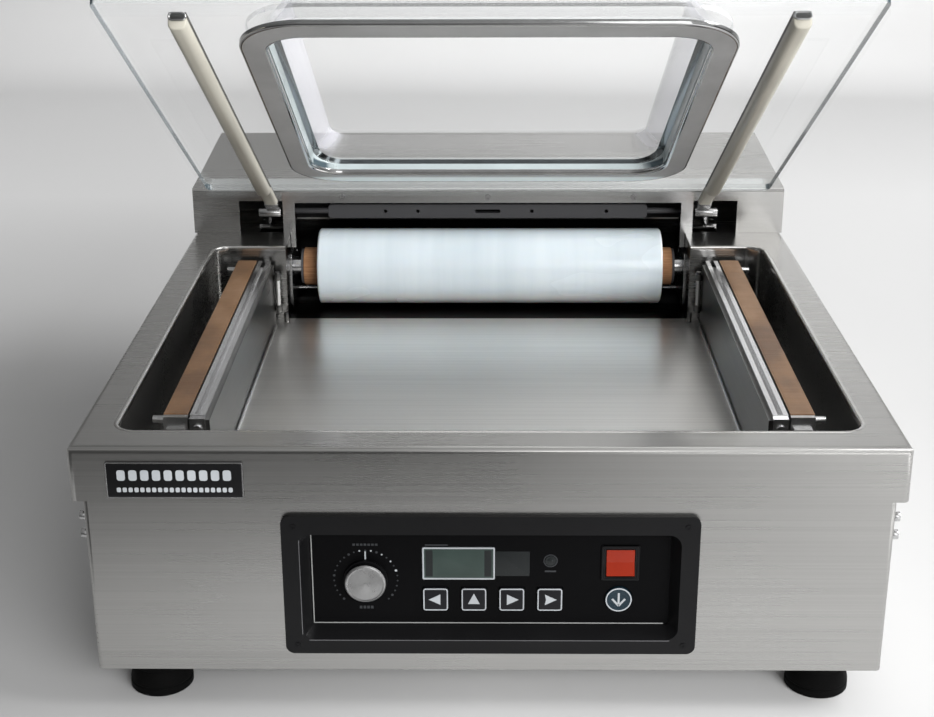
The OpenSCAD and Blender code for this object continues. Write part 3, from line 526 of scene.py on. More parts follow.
def make_world():
    world = bpy.data.worlds.new("studio")
    scene.world = world
    world.use_nodes = True
    nodes, links = world.node_tree.nodes, world.node_tree.links
    split = nodes.new("ShaderNodeSeparateXYZ")
    links.new(nodes.new("ShaderNodeTexCoord").outputs["Generated"], split.inputs[0])
    product = nodes.new("ShaderNodeMix")
    product.data_type = "RGBA"
    product.blend_type = "MULTIPLY"
    product.inputs[0].default_value = 1.0
    for axis, stops, slot in (("X", WORLD_ACROSS, 6), ("Z", WORLD_UP, 7)):
        shift = nodes.new("ShaderNodeMapRange")
        shift.inputs["From Min"].default_value = -1
        ramp = nodes.new("ShaderNodeValToRGB")
        links.new(split.outputs[axis], shift.inputs["Value"])
        links.new(shift.outputs["Result"], ramp.inputs["Fac"])
        set_stops(ramp.color_ramp, [(at, (level,) * 3) for at, level in stops])
        links.new(ramp.outputs["Color"], product.inputs[slot])
    back = nodes["Background"]
    links.new(product.outputs[2], back.inputs["Color"])
    back.inputs["Strength"].default_value = WORLD_STRENGTH


def make_paper():
    """Matt paper whose grey changes across the stage: painted shade to the left and in front on the left, painted
    light to the right and far behind.
    """
    n = Nodes("studio_paper")
    # Painted light and shade: the greys below make the paper darker or brighter across the stage
    across = n.span(n.axis("X"), 0.0, 1.0, *PAPER_SPAN)
    floor, far, wall, front = [n.ramp(across, *[(at, (v, v, v)) for at, v in stops])
                               for stops in (FLOOR_ACROSS, FAR_ACROSS, WALL_ACROSS, FRONT_ACROSS)]
    base = n.mix(n.span(n.axis("Y"), 0.0, 1.0, *FAR_BLEND), floor, far)
    base = n.mix(n.span(n.axis("Z"), 0.0, 1.0, *WALL_BLEND), base, wall)
    base = n.mix(n.span(n.axis("Y"), 1.0, 0.0, *FRONT_BLEND), base, front)
    n.colour(n.mix(n.span(n.noise((2, 2, 2)), 0.0, 0.06), base, (0.5, 0.5, 0.49)))
    n.set(Roughness=0.8, Specular_IOR_Level=0.1)
    return n.mat


def make_backdrop():
    profile = [(-BACKDROP_HALF, 0.0), (BACKDROP_BEND_FROM, 0.0)]
    for degrees in range(9, 91, 9):
        a = math.radians(degrees)
        profile.append((BACKDROP_BEND_FROM + BACKDROP_BEND * math.sin(a), BACKDROP_BEND * (1 - math.cos(a))))
    profile.append((BACKDROP_BEND_FROM + BACKDROP_BEND, BACKDROP_RISE))
    verts = [(x, y, z) for y, z in profile for x in (-BACKDROP_HALF, BACKDROP_HALF)]
    faces = [(2 * i, 2 * i + 1, 2 * i + 3, 2 * i + 2) for i in range(len(profile) - 1)]
    mesh = bpy.data.meshes.new("backdrop")
    mesh.from_pydata(verts, [], faces)
    backdrop = bpy.data.objects.new("backdrop", mesh)
    scene.collection.objects.link(backdrop)
    mesh.materials.append(make_paper())
    for polygon in mesh.polygons:
        polygon.use_smooth = True


make_world()
make_backdrop()
for light_row in AREA_LIGHTS:
    area_light(*light_row)
scene.view_settings.view_transform = "Standard"

# ------------------------------- edges of the CAD pieces

EDGE_MM = {
    "deck_pan": 0.7, "rear_cover": 0.6, "lower_housing": 0.5, "control_bezel": 0.9, "rear_frame": 0.5,
    "lid_plate": 0.8, "guide_rails": 0.4, "guide_panels": 0.3, "film_guide_bar": 0.5, "hinge_brackets": 0.3,
    "hinge_arms": 0.5, "hinge_pins": 0.4, "seal_bar_left": 0.5, "seal_bar_right": 0.5, "foot_bolts": 0.5,
    "switch_frame": 0.4, "rocker_switch": 0.7, "casing_screws": 0.4, "power_inlet": 0.5, "roll_spindles": 0.4,
}

for node_name, width in EDGE_MM.items():
    node = frame["nodes"][node_name]
    weld = node.modifiers.new("weld", "WELD")
    weld.merge_threshold = 0.00002
    bevel = node.modifiers.new("edge", "BEVEL")
    bevel.width = width * MM
    bevel.segments = 2
    bevel.limit_method = "ANGLE"
    bevel.angle_limit = math.radians(40)
    bevel.harden_normals = True

for clear_node in ("lid_plate", "lid_dome", "lid_gasket"):
    frame["nodes"][clear_node].visible_shadow = False

# The small screws of the bezel are blackened, those on the sides are dark steel, the others are plain steel
screws = frame["nodes"]["casing_screws"].data
screws.materials.append(MATERIALS["knob_black"])
screws.materials.append(MATERIALS["cap_dark"])
bezel_low, bezel_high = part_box("control_bezel")
SCREW_DEPTH = 0.004
SIDE_FROM = bezel_high.x * 2
for polygon in screws.polygons:
    centre = polygon.center
    on_front = centre.y < bezel_low.y + SCREW_DEPTH
    if on_front and bezel_low.x < centre.x < bezel_high.x and centre.z < bezel_high.z:
        polygon.material_index = 1
    elif abs(centre.x) > SIDE_FROM:
        polygon.material_index = 2

# ------------------------------- mesh helpers, all in millimetres


def low_high(node_name):
    """Lowest and highest corner of a CAD node at rest, in millimetres."""
    low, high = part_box(node_name)
    return low / MM, high / MM


def polar(cx, cy, r, degrees):
    a = math.radians(degrees)
    return cx + r * math.cos(a), cy + r * math.sin(a)


def piece(name, verts, faces, look, body, replaces=(), sharp=35):
    """Makes a mesh from points in millimetres, paints it and lets it ride on a body."""
    mesh = bpy.data.meshes.new(name)
    mesh.from_pydata([Vector(v) * MM for v in verts], [], faces)
    made = bmesh.new()
    made.from_mesh(mesh)
    bmesh.ops.remove_doubles(made, verts=made.verts, dist=1e-6)
    bmesh.ops.recalc_face_normals(made, faces=made.faces)
    made.to_mesh(mesh)
    made.free()
    for polygon in mesh.polygons:
        polygon.use_smooth = True
    mesh.set_sharp_from_angle(angle=math.radians(sharp))
    obj = bpy.data.objects.new(name, mesh)
    scene.collection.objects.link(obj)
    paint(obj, look)
    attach(obj, body)
    if replaces:
        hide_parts(*replaces)
    return obj


def skin(loops, cap_first=True, cap_last=True, closed=False):
    """Joins loops of points with quads. Returns the points and the faces."""
    count = len(loops[0])
    verts = [p for loop in loops for p in loop]
    faces = []
    rows = len(loops) if closed else len(loops) - 1
    for i in range(rows):
        a, b = i * count, (i + 1) % len(loops) * count
        for j in range(count):
            k = (j + 1) % count
            faces.append((a + j, a + k, b + k, b + j))
    if not closed and cap_first:
        faces.append(tuple(range(count)))
    if not closed and cap_last:
        faces.append(tuple(range(len(verts) - count, len(verts))))
    return verts, faces


def rounded(x_low, x_high, y_low, y_high, r, steps=6):
    """A function that gives a rounded rectangle moved in by an amount."""
    def outline(inset=0.0):
        radius = max(r - inset, 0.02)
        past = min(0, r - inset)
        points = []
        for sx, sy, start in ((1, 1, 0), (-1, 1, 90), (-1, -1, 180), (1, -1, 270)):
            cx = (x_high - r if sx > 0 else x_low + r) + sx * past
            cy = (y_high - r if sy > 0 else y_low + r) + sy * past
            points += [polar(cx, cy, radius, start + 90 * i / steps) for i in range(steps + 1)]
        return points
    return outline


def square(centre, half, r):
    """A square with round corners, seen from the front."""
    return rounded(centre.x - half, centre.x + half, centre.z - half, centre.z + half, r)


def box_face(low, high, r, grow=0.0):
    """The front of a box with round corners, grown or shrunk by an amount."""
    return rounded(low.x - grow, high.x + grow, low.z - grow, high.z + grow, r)


def disc(cx, cy, r, steps=40):
    """A function that gives a circle moved in by an amount."""
    def outline(inset=0.0):
        return [polar(cx, cy, r - inset, 360 * i / steps) for i in range(steps)]
    return outline


def pad(outline, low, high, edge, place):
    """A flat piece from low to high with rounded upper edges."""
    loops = [[place(x, y, low) for x, y in outline()]]
    for a in (0, math.pi / 6, math.pi / 3, math.pi / 2):
        level, inset = high - edge * (1 - math.sin(a)), edge * (1 - math.cos(a))
        loops.append([place(x, y, level) for x, y in outline(inset)])
    return skin(loops)


def band(outline, width, low, high, place, edge=0.15):
    """A raised line of a given width that follows an outline inwards."""
    shoulder = high - edge
    profile = [(0, low), (0, shoulder), (edge, high), (width - edge, high), (width, shoulder), (width, low)]
    return skin([[place(x, y, h) for x, y in outline(o)] for o, h in profile], closed=True)


def lathe(profile, axis, centre, steps=48, closed=False):
    """Turns a profile of (place along the axis, radius) about an axis through centre."""
    u, v = {"x": (1, 2), "y": (2, 0), "z": (0, 1)}[axis]
    w = "xyz".index(axis)
    loops = []
    for along, r in profile:
        loop = []
        for i in range(steps):
            a = math.tau * i / steps
            p = [0.0, 0.0, 0.0]
            p[w] = centre[w] + along
            p[u] = centre[u] + r * math.cos(a)
            p[v] = centre[v] + r * math.sin(a)
            loop.append(p)
        loops.append(loop)
    return skin(loops, closed=closed)


def merge(*parts):
    """Several (points, faces) pairs as one."""
    verts, faces = [], []
    for part_verts, part_faces in parts:
        shift = len(verts)
        verts += part_verts
        faces += [tuple(i + shift for i in face) for face in part_faces]
    return verts, faces


def strip(points, width, low, high, place):
    """A raised polyline in a plane, one bar for each stretch."""
    parts = []
    for (ax, ay), (bx, by) in zip(points, points[1:]):
        length = math.hypot(bx - ax, by - ay) or 1.0
        nx, ny = -(by - ay) / length * width / 2, (bx - ax) / length * width / 2
        ring = [(ax + nx, ay + ny), (ax - nx, ay - ny), (bx - nx, by - ny), (bx + nx, by + ny)]
        parts.append(skin([[place(x, y, low) for x, y in ring], [place(x, y, high) for x, y in ring]]))
    return merge(*parts)


def shape(outline_points, low, high, place):
    """A flat raised polygon."""
    return skin([[place(x, y, level) for x, y in outline_points] for level in (low, high)])


# ------------------------------- control panel

panel_low, panel_high = low_high("control_panel")
FACE = panel_low.y
# How far print stands proud, the radius of the dial, and how far the keys are drawn in and crowned
INK = 0.12
DIAL_R = 19.6
KEY_INSET = 1
KEY_CROWN = 0.35


def front_of(y):
    """Places drawings on an upright plane that faces the front."""
    return lambda x, z, out: (x, y - out, z)


on_panel = front_of(FACE)


def arrow_icon(centre, size, turn, notch):
    """A solid triangle that points right, turned by an angle in degrees, with a notch behind."""
    cos, sin = math.cos(math.radians(turn)), math.sin(math.radians(turn))
    corners = [(size, 0), (-size * 0.7, size * 0.85), (-size * 0.7 + notch, 0), (-size * 0.7, -size * 0.85)]
    return [(centre.x + x * cos - z * sin, centre.z + x * sin + z * cos) for x, z in corners]


def make_keys():
    for number, turn, notch in ((1, 180, 0.02), (2, 90, 0.02), (3, 0, 0.02), (4, 0, 0.7)):
        name = "arrow_key_%d" % number
        low, high = low_high(name)
        centre = (low + high) / 2
        half = (high.x - low.x) / 2 - KEY_INSET
        place = front_of(low.y)
        cap = square(centre, half, 1.6)
        piece(name + "_cap", *pad(cap, -3.0, KEY_CROWN, 0.5, place), "key_black", name, replaces=(name,))
        ring = square(centre, half - 0.05, 1.7)
        piece(name + "_outline", *band(ring, 0.85, 0.0, KEY_CROWN + INK, place, 0.15), "marking", name)
        icon = shape(arrow_icon(centre, 4.3, turn, notch), 0.3, KEY_CROWN + INK, place)
        piece(name + "_icon", *icon, "marking", name, sharp=20)


def make_start_button():
    low, high = low_high("start_button")
    x, z = (low.x + high.x) / 2, (low.z + high.z) / 2
    radius = (high.x - low.x) / 2 - KEY_INSET
    place = front_of(low.y)
    dish = [(-3.0, radius), (-0.1, radius), (0.35, radius - 0.35), (0.45, radius - 1.0), (0.3, radius - 1.8),
            (0.1, radius - 4), (0.0, 0.05)]
    piece("start_cap", *lathe([(-a, r) for a, r in dish], "y", (x, low.y, z)), "start_blue",
          "start_button", replaces=("start_button",))
    ring = band(disc(x, z, radius - 0.2), 0.8, 0.2, 0.52, place, 0.05)
    piece("start_ring", *ring, "marking", "start_button")
    shaft = [(x, z + 4.6), (x, z - 3.6)]
    barbs = [(x - 4.0, z + 0.6), (x, z - 4.2), (x + 4.0, z + 0.6)]
    arrow = merge(*[strip(line, 1.2, 0.0, 0.42, place) for line in (shaft, barbs)])
    piece("start_icon", *arrow, "marking", "start_button", sharp=20)


def make_knob():
    low, high = low_high("knob_cap")
    x, z = (low.x + high.x) / 2, (low.z + high.z) / 2
    radius = (high.x - low.x) / 2
    depth = high.y - low.y
    profile = [(depth, radius + 0.7), (0.9, radius + 0.7), (0.2, radius + 0.1), (0, radius - 0.5),
               (0.25, radius - 1.1)]
    # Turned grooves from the rim to the middle
    r = radius - 1.6
    while r > 1.0:
        profile += [(0.30, r), (0.22, r - 0.35)]
        r -= 0.9
    profile.append((0.22, 0.05))
    piece("knob_turned_cap", *lathe(profile, "y", (x, low.y, z), 72), "knob_metal", "knob",
          replaces=("knob_cap",))
    # Dial dots round the knob, a line at the top, and short dashes in place of captions
    bright, dim = [], []
    dots = 27
    for i in range(dots):
        dot_x, dot_z = polar(x, z, DIAL_R, 225 - 270 * i / (dots - 1))
        dot = shape(disc(dot_x, dot_z, 0.55 if i % 5 else 0.8, 12)(), 0, INK, on_panel)
        (bright if 10 < i < 22 and i % 2 == 0 else dim).append(dot)
    bright.append(strip([(x, z + radius + 1.5), (x, z + DIAL_R - 0.6)], 0.9, 0, INK, on_panel))
    for rise, count, tall in ((DIAL_R + 4, 7, 1.4), (-DIAL_R - 0.2, 4, 1.9)):
        for i in range(count):
            at = x + (i - (count - 1) / 2) * 2.3
            dim.append(strip([(at - 0.8, z + rise), (at + 0.8, z + rise)], tall, 0, INK, on_panel))
    piece("dial_marks", *merge(*bright), "marking", "machine", sharp=20)
    piece("dial_captions", *merge(*dim), "marking_dim", "machine", sharp=20)


def make_display():
    low, high = low_high("lcd_display")
    rim = band(box_face(low, high, 1.0, 0.8), 1.1, 0.0, 0.9, on_panel, 0.3)
    piece("lcd_rim", *rim, "marking", "machine")
    glass = pad(box_face(low, high, 0.4), -2.0, 0.35, 0.2, on_panel)
    piece("lcd_glass", *glass, "lcd", "machine", replaces=("lcd_display",))
    ends = [shape(rounded(x - 2.2, x + 2.2, low.z + 1.2, high.z - 1.2, 0.4)(), 0.3, 0.42, on_panel)
            for x in (low.x + 3.4, high.x - 3.4)]
    piece("lcd_ends", *merge(*ends), "dark_window", "machine", sharp=20)
    low, high = low_high("display_windows")
    window = pad(rounded(low.x, low.x + 21.2, low.z, low.z + 17, 0.8), -1.5, 0.3, 0.2, on_panel)
    piece("status_window", *window, "dark_window", "machine", replaces=("display_windows",))
    x, z = high.x - 3.7, low.z + 10.5
    dome = [(0.0, 3.6), (0.5, 3.6), (0.8, 3.3), (0.7, 2.6), (1.1, 1.6), (1.25, 0.05)]
    lamp = lathe([(-out, r) for out, r in dome], "y", (x, FACE, z), 32)
    piece("status_lamp", *lamp, "dark_window", "machine")
    ring = band(disc(x, z, 4.4), 0.7, 0, INK, on_panel, 0.04)
    piece("lamp_ring", *ring, "marking_dim", "machine")
    caption = strip([(x - 3.5, z - 7.2), (x + 3.5, z - 7.2)], 1.1, 0, INK, on_panel)
    title = strip([(low.x - 43, high.z + 4.2), (low.x - 29, high.z + 4.2)], 0.9, 0, INK, on_panel)
    piece("panel_captions", *merge(caption, title), "marking_dim", "machine", sharp=20)


def make_switch():
    low, high = low_high("switch_frame")
    rim = band(box_face(low, high, 1.4), 1.9, -1.2, 0.5, front_of(low.y), 0.5)
    piece("switch_rim", *rim, "bezel_black", "machine")


def make_panel_lines():
    """Painted highlights: a bright line along the panel's bent edge, and a fainter line along the edge where its
    recess meets the bezel's face.
    """
    low, high = panel_low, panel_high
    # Painted highlight along the panel's left and lower bent edge
    corner = [(low.x + 0.9, high.z - 4), (low.x + 0.9, low.z + 0.9), (high.x - 3, low.z + 0.9)]
    piece("panel_edge_line", *strip(corner, 0.6, 0, 0.25, on_panel), "panel_edge", "machine", sharp=20)
    rim = band(box_face(low, high, 2.0, -0.6), 0.35, 0, 0.12, on_panel, 0.04)
    piece("panel_rim", *rim, "panel_black", "machine")
    low, high = low_high("control_bezel")
    # Painted highlights along the left and lower edges of the bezel's recess, where it meets the bezel's face
    side, foot, gap = low.x + 10.7, low.z + 9.4, 4
    runs = [(side, high.z - 16), (side, foot + gap)], [(side + gap, foot), (high.x - 16, foot)]
    edge_highlights = merge(*[strip(run, 0.5, -0.2, 0.1, front_of(low.y)) for run in runs])
    piece("bezel_edge_highlight", *edge_highlights, "bezel_edge", "machine", sharp=20)


make_keys()
make_start_button()
make_knob()
make_display()
make_switch()
make_panel_lines()

# ------------------------------- badge, a plain pattern in place of words


def make_badge():
    low, high = low_high("badge_plate")
    place = front_of(high.y)
    thick = high.y - low.y
    face = pad(box_face(low, high, 1.2), 0, thick, 0.3, place)
    piece("badge_face", *face, "badge_black", "machine", replaces=("badge_plate",))
    border = band(box_face(low, high, 1.2, -0.1), 0.8, thick - 0.3, thick + 0.15, place, 0.1)
    piece("badge_border", *border, "screw_steel", "machine")
    bars = []
    for height, tall, wide, count, gap in ((0.64, 6.8, 4.9, 10, 2.1), (0.24, 3.0, 2.5, 20, 1.0)):
        z = low.z + (high.z - low.z) * height
        start = (low.x + high.x - count * wide - (count - 1) * gap) / 2
        for i in range(count):
            x = start + i * (wide + gap)
            bar = rounded(x, x + wide, z - tall / 2, z + tall / 2, wide * 0.3, 3)
            bars.append(shape(bar(), thick, thick + 0.15, place))
    piece("badge_bars", *merge(*bars), "marking", "machine", sharp=20)


make_badge()

# ------------------------------- film roll


def make_roll():
    low, high = low_high("film_roll")
    core_low, core_high = low_high("roll_core")
    centre = (low + high) / 2
    outer = (high.z - low.z) / 2
    core = (core_high.z - core_low.z) / 2
    half = (high.x - low.x) / 2
    profile = [(-half, core)]
    layers = 7
    for i in range(layers):
        r = core + (outer - core) * (i + 0.5) / layers
        profile.append((-half + (0.25 if i % 2 else 0.0), r))
    edge = 1.6
    profile += [polar(edge - half, outer - edge, edge, 180 - a) for a in range(0, 91, 18)]
    for i in range(1, 24):
        x = -half + edge + (2 * half - 2 * edge) * i / 24
        profile.append((x, outer - 0.10 + 0.10 * math.cos(i * 1.7)))
    mirrored = [(-x, r) for x, r in reversed(profile) if x < -half + edge + 0.01]
    verts, faces = lathe(profile + mirrored, "x", centre, 96, closed=True)
    piece("film_winding", verts, faces, "film_white", "film_roll", replaces=("film_roll",), sharp=50)
    # Free end of the film, one layer proud of the roll
    turns = range(20, 215, 5)
    verts = [(x, *polar(centre.y, centre.z, outer + layer, a))
             for x in (low.x + 1.5, high.x - 1.5) for layer in (0.02, 0.35) for a in turns]
    n = len(turns)
    faces = []
    for j in range(n - 1):
        faces += [(j, j + 1, 2 * n + j + 1, 2 * n + j), (n + j, 3 * n + j, 3 * n + j + 1, n + j + 1),
                  (j, n + j, n + j + 1, j + 1), (2 * n + j, 2 * n + j + 1, 3 * n + j + 1, 3 * n + j)]
    faces += [(0, 2 * n, 3 * n, n), (n - 1, 2 * n - 1, 4 * n - 1, 3 * n - 1)]
    piece("film_end", verts, faces, "film_white", "film_roll", sharp=30)
    # Card core with a rounded lip at each end
    wall = 2.5
    length = core_high.x
    right = [(length - 0.5, core), (length, core - 0.6), (length, core - wall + 0.5),
             (length - 0.6, core - wall)]
    tube = right + [(-x, r) for x, r in right[::-1]]
    card = lathe(tube, "x", (0, centre.y, centre.z), 64, closed=True)
    piece("core_tube", *card, "cardboard", "film_roll", replaces=("roll_core",))


make_roll()

# ------------------------------- lid


def in_lid(x, y, z):
    return LID_POSE @ Vector((x, y, z))


def lid_outline(low, high, side, end, radius, steps=12):
    """A rectangle in the plane of the lid, drawn in from a box at its sides and its ends."""
    return rounded(low.x + side, high.x - side, low.y + end, high.y - end, radius, steps)()


def lid_loop(low, high, side, end, radius, height, steps=12):
    return [in_lid(x, y, height) for x, y in lid_outline(low, high, side, end, radius, steps)]


def make_window_frame():
    """A flat satin flange with a polished outer wall, and a polished rounded edge round the opening."""
    low, high = closed_low_high("window_frame")
    side, end, corner = 17.0, 22.0, 42
    top, bottom = high.z, low.z - 0.6
    edge = [(0, top), (0, bottom + 1.0), (0.35, bottom + 0.3), (1.0, bottom), (1.7, bottom), (1.7, top)]
    flange = [(1.7, top), (1.7, bottom), (side - 1.9, bottom), (side - 1.9, top)]
    bead = [(side - 1.9, top), (side - 1.9, bottom), (side - 1.0, bottom + 0.15), (side - 0.35, bottom + 0.6),
            (side, bottom + 1.4), (side, top)]
    for name, profile, look, replaced in (("window_flange", flange, "frame_satin", ("window_frame",)),
                                          ("window_edge", edge, "frame_chrome", ()),
                                          ("window_bead", bead, "frame_chrome", ())):
        loops = [lid_loop(low, high, o, o * end / side, corner - o, h, 14) for o, h in profile]
        piece(name, *skin(loops, closed=True), look, "lid", replaces=replaced, sharp=50)


def dome_section(base, top):
    """Rows of side inset, end inset, corner radius and height: up the outside, then down the inside."""
    side_lean, end_lean, bend, wall, foot = 18.0, 4.0, 5.0, 4.0, 7.5

    def at(height, inward):
        t = (height - base) / (top - base)
        return 10 + side_lean * t + inward, 12 + end_lean * t + inward, 26 - 10 * t - inward * 0.6

    def bent(thick, r):
        rows = []
        for degrees in (0, 25, 50, 70, 90):
            a = math.radians(degrees)
            rows.append((*at(top - bend, thick + r * (1 - math.cos(a))), top - bend + r * math.sin(a)))
        return rows

    flange = [(0, 0, 39, base), (0, 0, 39, base + 3.2), (0.8, 0.8, 38.2, base + 4),
              (6.0, 8.0, 33, base + 4), (8.6, 10.6, 30, base + 4.6)]
    outside = flange + [(*at(base + foot, 0), base + foot)] + bent(0, bend)
    inside = bent(wall, bend - wall)[::-1]
    inside += [(*at(base + foot, wall), base + foot), (14, 16, 22, base + 0.02)]
    return outside, inside


def make_dome():
    """The raised clear top."""
    low, high = closed_low_high("lid_dome")
    outside, inside = dome_section(low.z, high.z)
    verts, faces = skin([lid_loop(low, high, *row) for row in outside], cap_first=False)
    in_verts, in_faces = skin([lid_loop(low, high, *row) for row in inside], cap_last=False)
    count = len(verts) // len(outside)
    shift = len(verts)
    last = shift + len(in_verts) - count
    seam = [(j, (j + 1) % count, last + (j + 1) % count, last + j) for j in range(count)]
    faces += [tuple(i + shift for i in face) for face in in_faces] + seam
    dome = piece("dome_shell", verts + in_verts, faces, "dome_acrylic", "lid", replaces=("lid_dome",),
                 sharp=60)
    dome.visible_shadow = False


def make_opening_edge():
    """The bright cut edge of the lid's opening, and the dark line where the dome starts."""
    low, high = closed_low_high("lid_dome")
    base = low.z
    # Heights at the sides, the rear and the front of the opening: the front edge stays clear
    lower = (base - 9.6, base - 9.6, base - 9.6)
    middle = (base - 0.2, base - 5.4, base - 9.45)
    upper = (base + 4.4, base - 2.0, base - 9.3)
    outer, inner = (14.1, 16.1, 22), (14.6, 16.6, 21.5)
    cut_edge = [(outer, lower), (outer, middle), (inner, middle), (inner, lower)]
    root = [(outer, middle), ((17.8, 16.3, 20), upper), ((18.4, 16.9, 19.5), upper), (inner, middle)]
    mid_y, reach, blend = (low.y + high.y) / 2, (high.y - low.y) / 2 - outer[1], 22
    for name, rows, look in (("opening_edge", cut_edge, "edge_pale"), ("dome_root", root, "root_dark")):
        loops = []
        for insets, (at_side, at_rear, at_front) in rows:
            loop = []
            for x, y in lid_outline(low, high, *insets):
                t = min(1.0, max(0.0, (abs(y - mid_y) - reach + blend) / blend))
                height = at_side + t * ((at_rear if y > mid_y else at_front) - at_side)
                loop.append(in_lid(x, y, height))
            loops.append(loop)
        piece(name, *skin(loops, closed=True), look, "lid", sharp=50)


def bar_section(x, half, top, bottom, r):
    """Cross section of a lid bar: flat on the lid, rounded below."""
    points = [(x - half, top)]
    points += [polar(x - half + r, bottom + r, r, a) for a in range(180, 271, 15)]
    points += [polar(x + half - r, bottom + r, r, a) for a in range(270, 361, 15)]
    return points + [(x + half, top)]


def make_lid_bars():
    low, high = closed_low_high("counter_bars")
    xs = [v.co.x / MM for v in frame["nodes"]["counter_bars"].data.vertices if v.co.x > 0]
    half, middle = (max(xs) - min(xs)) / 2, (max(xs) + min(xs)) / 2
    # Behind the opening the bars are thinner, down to this level
    relief = low_high("chamber_floor")[1].y - 6
    thin = high.z - 5.5
    # Place along the bar, half width, lowest level, depth of the bar's flat side and edge radius
    stations = [(low.y, half - 0.9, low.z + 0.9, 3.6, 3.6), (low.y + 0.35, half - 0.3, low.z + 0.3, 3.6, 3.8),
                (low.y + 1.0, half, low.z, 3.6, 4.2), (relief - 6, half, low.z, 3.6, 4.2),
                (relief, half, thin, 1.6, 2.6), (high.y, half, thin, 1.6, 2.6)]
    slim = half - 0.35
    bars, holders, caps, rings = [], [], [], []
    for x in (-middle, middle):
        bars.append(skin([[in_lid(px, y, pz) for px, pz in bar_section(x, width, high.z - deep, floor, r)]
                          for y, width, floor, deep, r in stations]))
        loops = []
        for y, deep in ((low.y + 0.3, 3.8), (relief - 6, 3.8), (relief, 1.8), (high.y, 1.8)):
            corners = (-slim, 0), (-slim, deep), (slim, deep), (slim, 0)
            loops.append([in_lid(x + px, y, high.z - pz) for px, pz in corners])
        holders.append(skin(loops))
        place = lambda px, pz, h: in_lid(px, low.y + 0.3 - h, pz)
        oval = rounded(x - 5.4, x + 5.4, high.z - 5.7, high.z - 0.2, 2.7, 8)
        caps.append(pad(oval, -0.5, 0.7, 0.3, place))
        rings.append(band(oval, 1.1, 0.5, 1.5, place, 0.3))
    piece("lid_bars", *merge(*bars), "bar_cream", "lid", replaces=("counter_bars",), sharp=50)
    piece("bar_holders", *merge(*holders), "channel_dark", "lid", sharp=40)
    piece("bar_caps", *merge(*caps), "cap_dark", "lid")
    piece("bar_cap_rings", *merge(*rings), "screw_steel", "lid")


make_window_frame()
make_dome()
make_opening_edge()
make_lid_bars()

# ------------------------------- seal bars


def make_strips():
    """Cloth strips with a crown across and faint ripples along, on a closed base."""
    rows, columns = 60, 8
    w = columns + 1
    for side, seed in (("left", 11), ("right", 12)):
        low, high = low_high("ptfe_strip_" + side)
        wave = random.Random(seed)
        phase = [wave.uniform(0, math.tau) for _ in range(2)]
        ys = [low.y + (high.y - low.y) * i / rows for i in range(rows + 1)]
        verts, faces = [], []
        for y in ys:
            for j in range(w):
                u = j / columns
                crown = 0.28 * (1 - (2 * u - 1) ** 4)
                ripple = 0.07 * math.sin(y * 0.13 + phase[0] + 2 * u) + 0.05 * math.sin(y * 0.41 + phase[1])
                height = high.z + crown + ripple * (1 - abs(2 * u - 1))
                verts.append((low.x + (high.x - low.x) * u, y, height))
        base = len(verts)
        verts += [(x, y, low.z) for y in ys for x in (low.x, high.x)]
        for i in range(rows):
            a, b = i * w, base + 2 * i
            faces += [(a + j, a + j + 1, a + w + j + 1, a + w + j) for j in range(columns)]
            faces += [(a, a + w, b + 2, b), (a + columns, b + 1, b + 3, a + w + columns),
                      (b, b + 2, b + 3, b + 1)]
        for a, b in ((0, base), (rows * w, base + 2 * rows)):
            faces.append(tuple(range(a, a + w)) + (b + 1, b))
        piece("ptfe_cloth_" + side, verts, faces, "ptfe_brown", "seal_bar_" + side,
              replaces=("ptfe_strip_" + side,), sharp=50)


make_strips()

# ------------------------------- chamber


def make_opening_rim():
    """A rounded rim round the chamber opening, open where the roll well starts."""
    tub_low, tub_high = low_high("chamber_tub")
    deck = low_high("deck_pan")[1].z
    sheet, r, well = 1.5, 13, 168.0
    x, front, rear = tub_high.x - sheet, tub_low.y + sheet, low_high("chamber_floor")[1].y
    path = [(-well, rear, 0, 1)]
    for cx, cy, start in ((r - x, rear - r, 90), (r - x, front + r, 180), (x - r, front + r, 270),
                          (x - r, rear - r, 0)):
        for i in range(9):
            nx, ny = polar(0, 0, 1, start + 90 * i / 8)
            path.append((cx + r * nx, cy + r * ny, nx, ny))
    path.append((well, rear, 0, 1))
    profile = [(2.6, 0.02), (2.0, 0.22), (1.0, 0.32), (0.2, 0.12), (-0.25, -0.4), (-0.45, -1.2),
               (-0.45, -3.4), (0.1, -3.4), (0.1, -0.6)]
    loops = [[(px + o * nx, py + o * ny, deck + h) for o, h in profile] for px, py, nx, ny in path]
    piece("opening_rim", *skin(loops), "rim_steel", "machine", sharp=60)


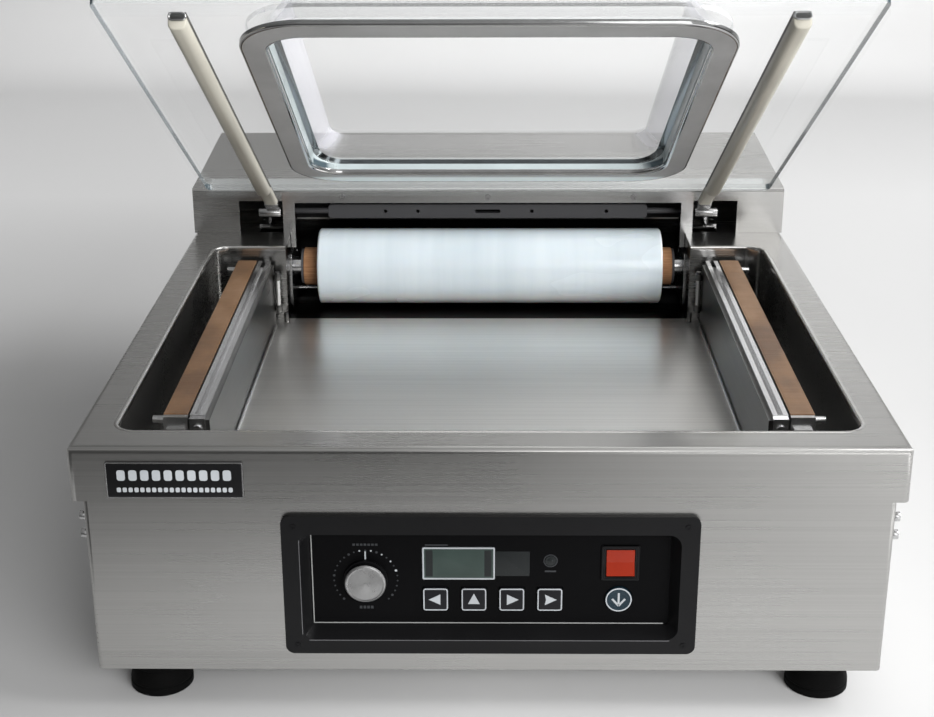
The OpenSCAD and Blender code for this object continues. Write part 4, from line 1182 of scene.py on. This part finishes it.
def make_panel_trim():
    """A slim foot along each guide panel, and bright skins on the slim posts and the spindle ends."""
    floor_high = low_high("chamber_floor")[1]
    low, high = low_high("guide_panels")
    film_low, film_high = low_high("film_roll")
    roll = (film_low.y + film_high.y) / 2, (film_low.z + film_high.z) / 2
    chuck = low_high("roll_chucks")[1].x + 0.4
    plate = low_high("roll_spindles")[1].x - 1.3
    bottom, top = low.z + 17.2, high.z - 12.2
    feet, posts, sleeves = [], [], []
    for side in (-1, 1):
        xs = sorted((side * floor_high.x, side * (floor_high.x - 1.8)))
        outline = rounded(*xs, low.y + 2, high.y - 12, 0.6, 3)
        feet.append(pad(outline, floor_high.z, floor_high.z + 1.6, 0.4, lambda px, py, h: (px, py, h)))
        post = [(bottom, 2.02), (bottom, 2.3), (top, 2.3), (top, 2.02)]
        posts.append(lathe(post, "z", (side * (floor_high.x - 2.5), high.y - 3, 0), 24, closed=True))
        a, b = sorted((side * chuck, side * plate))
        sleeve = [(a, 5.55), (a, 7.8), (a + 0.4, 8.2), (b - 0.4, 8.2), (b, 7.8), (b, 5.55)]
        sleeves.append(lathe(sleeve, "x", (0, *roll), 40, closed=True))
    piece("panel_feet", *merge(*feet), "rail_aluminium", "machine")
    piece("post_sleeves", *merge(*posts), "screw_steel", "machine")
    piece("spindle_sleeves", *merge(*sleeves), "rail_aluminium", "machine")


make_opening_rim()
make_panel_trim()

# ------------------------------- feet


def make_feet():
    low, high = low_high("rubber_feet")
    r, top = 20, high.z
    profile = [(0, 15.5), (0, 19.2), (0.8, r), (4.5, r), (5.3, 19.4), (5.9, 19.4), (6.6, 19.9), (9, 19.4),
               (15, 17.4), (15.8, 16.8), (16.4, 17.2), (top - 0.8, 17.0), (top, 16.2), (top, 5.2), (8.2, 5.2),
               (8.0, 0.1)]
    parts = [lathe(profile, "z", (x, y, 0), 56) for x in (low.x + r, high.x - r)
             for y in (low.y + r, high.y - r)]
    piece("feet_rubber", *merge(*parts), "foot_rubber", "machine", replaces=("rubber_feet",))


make_feet()
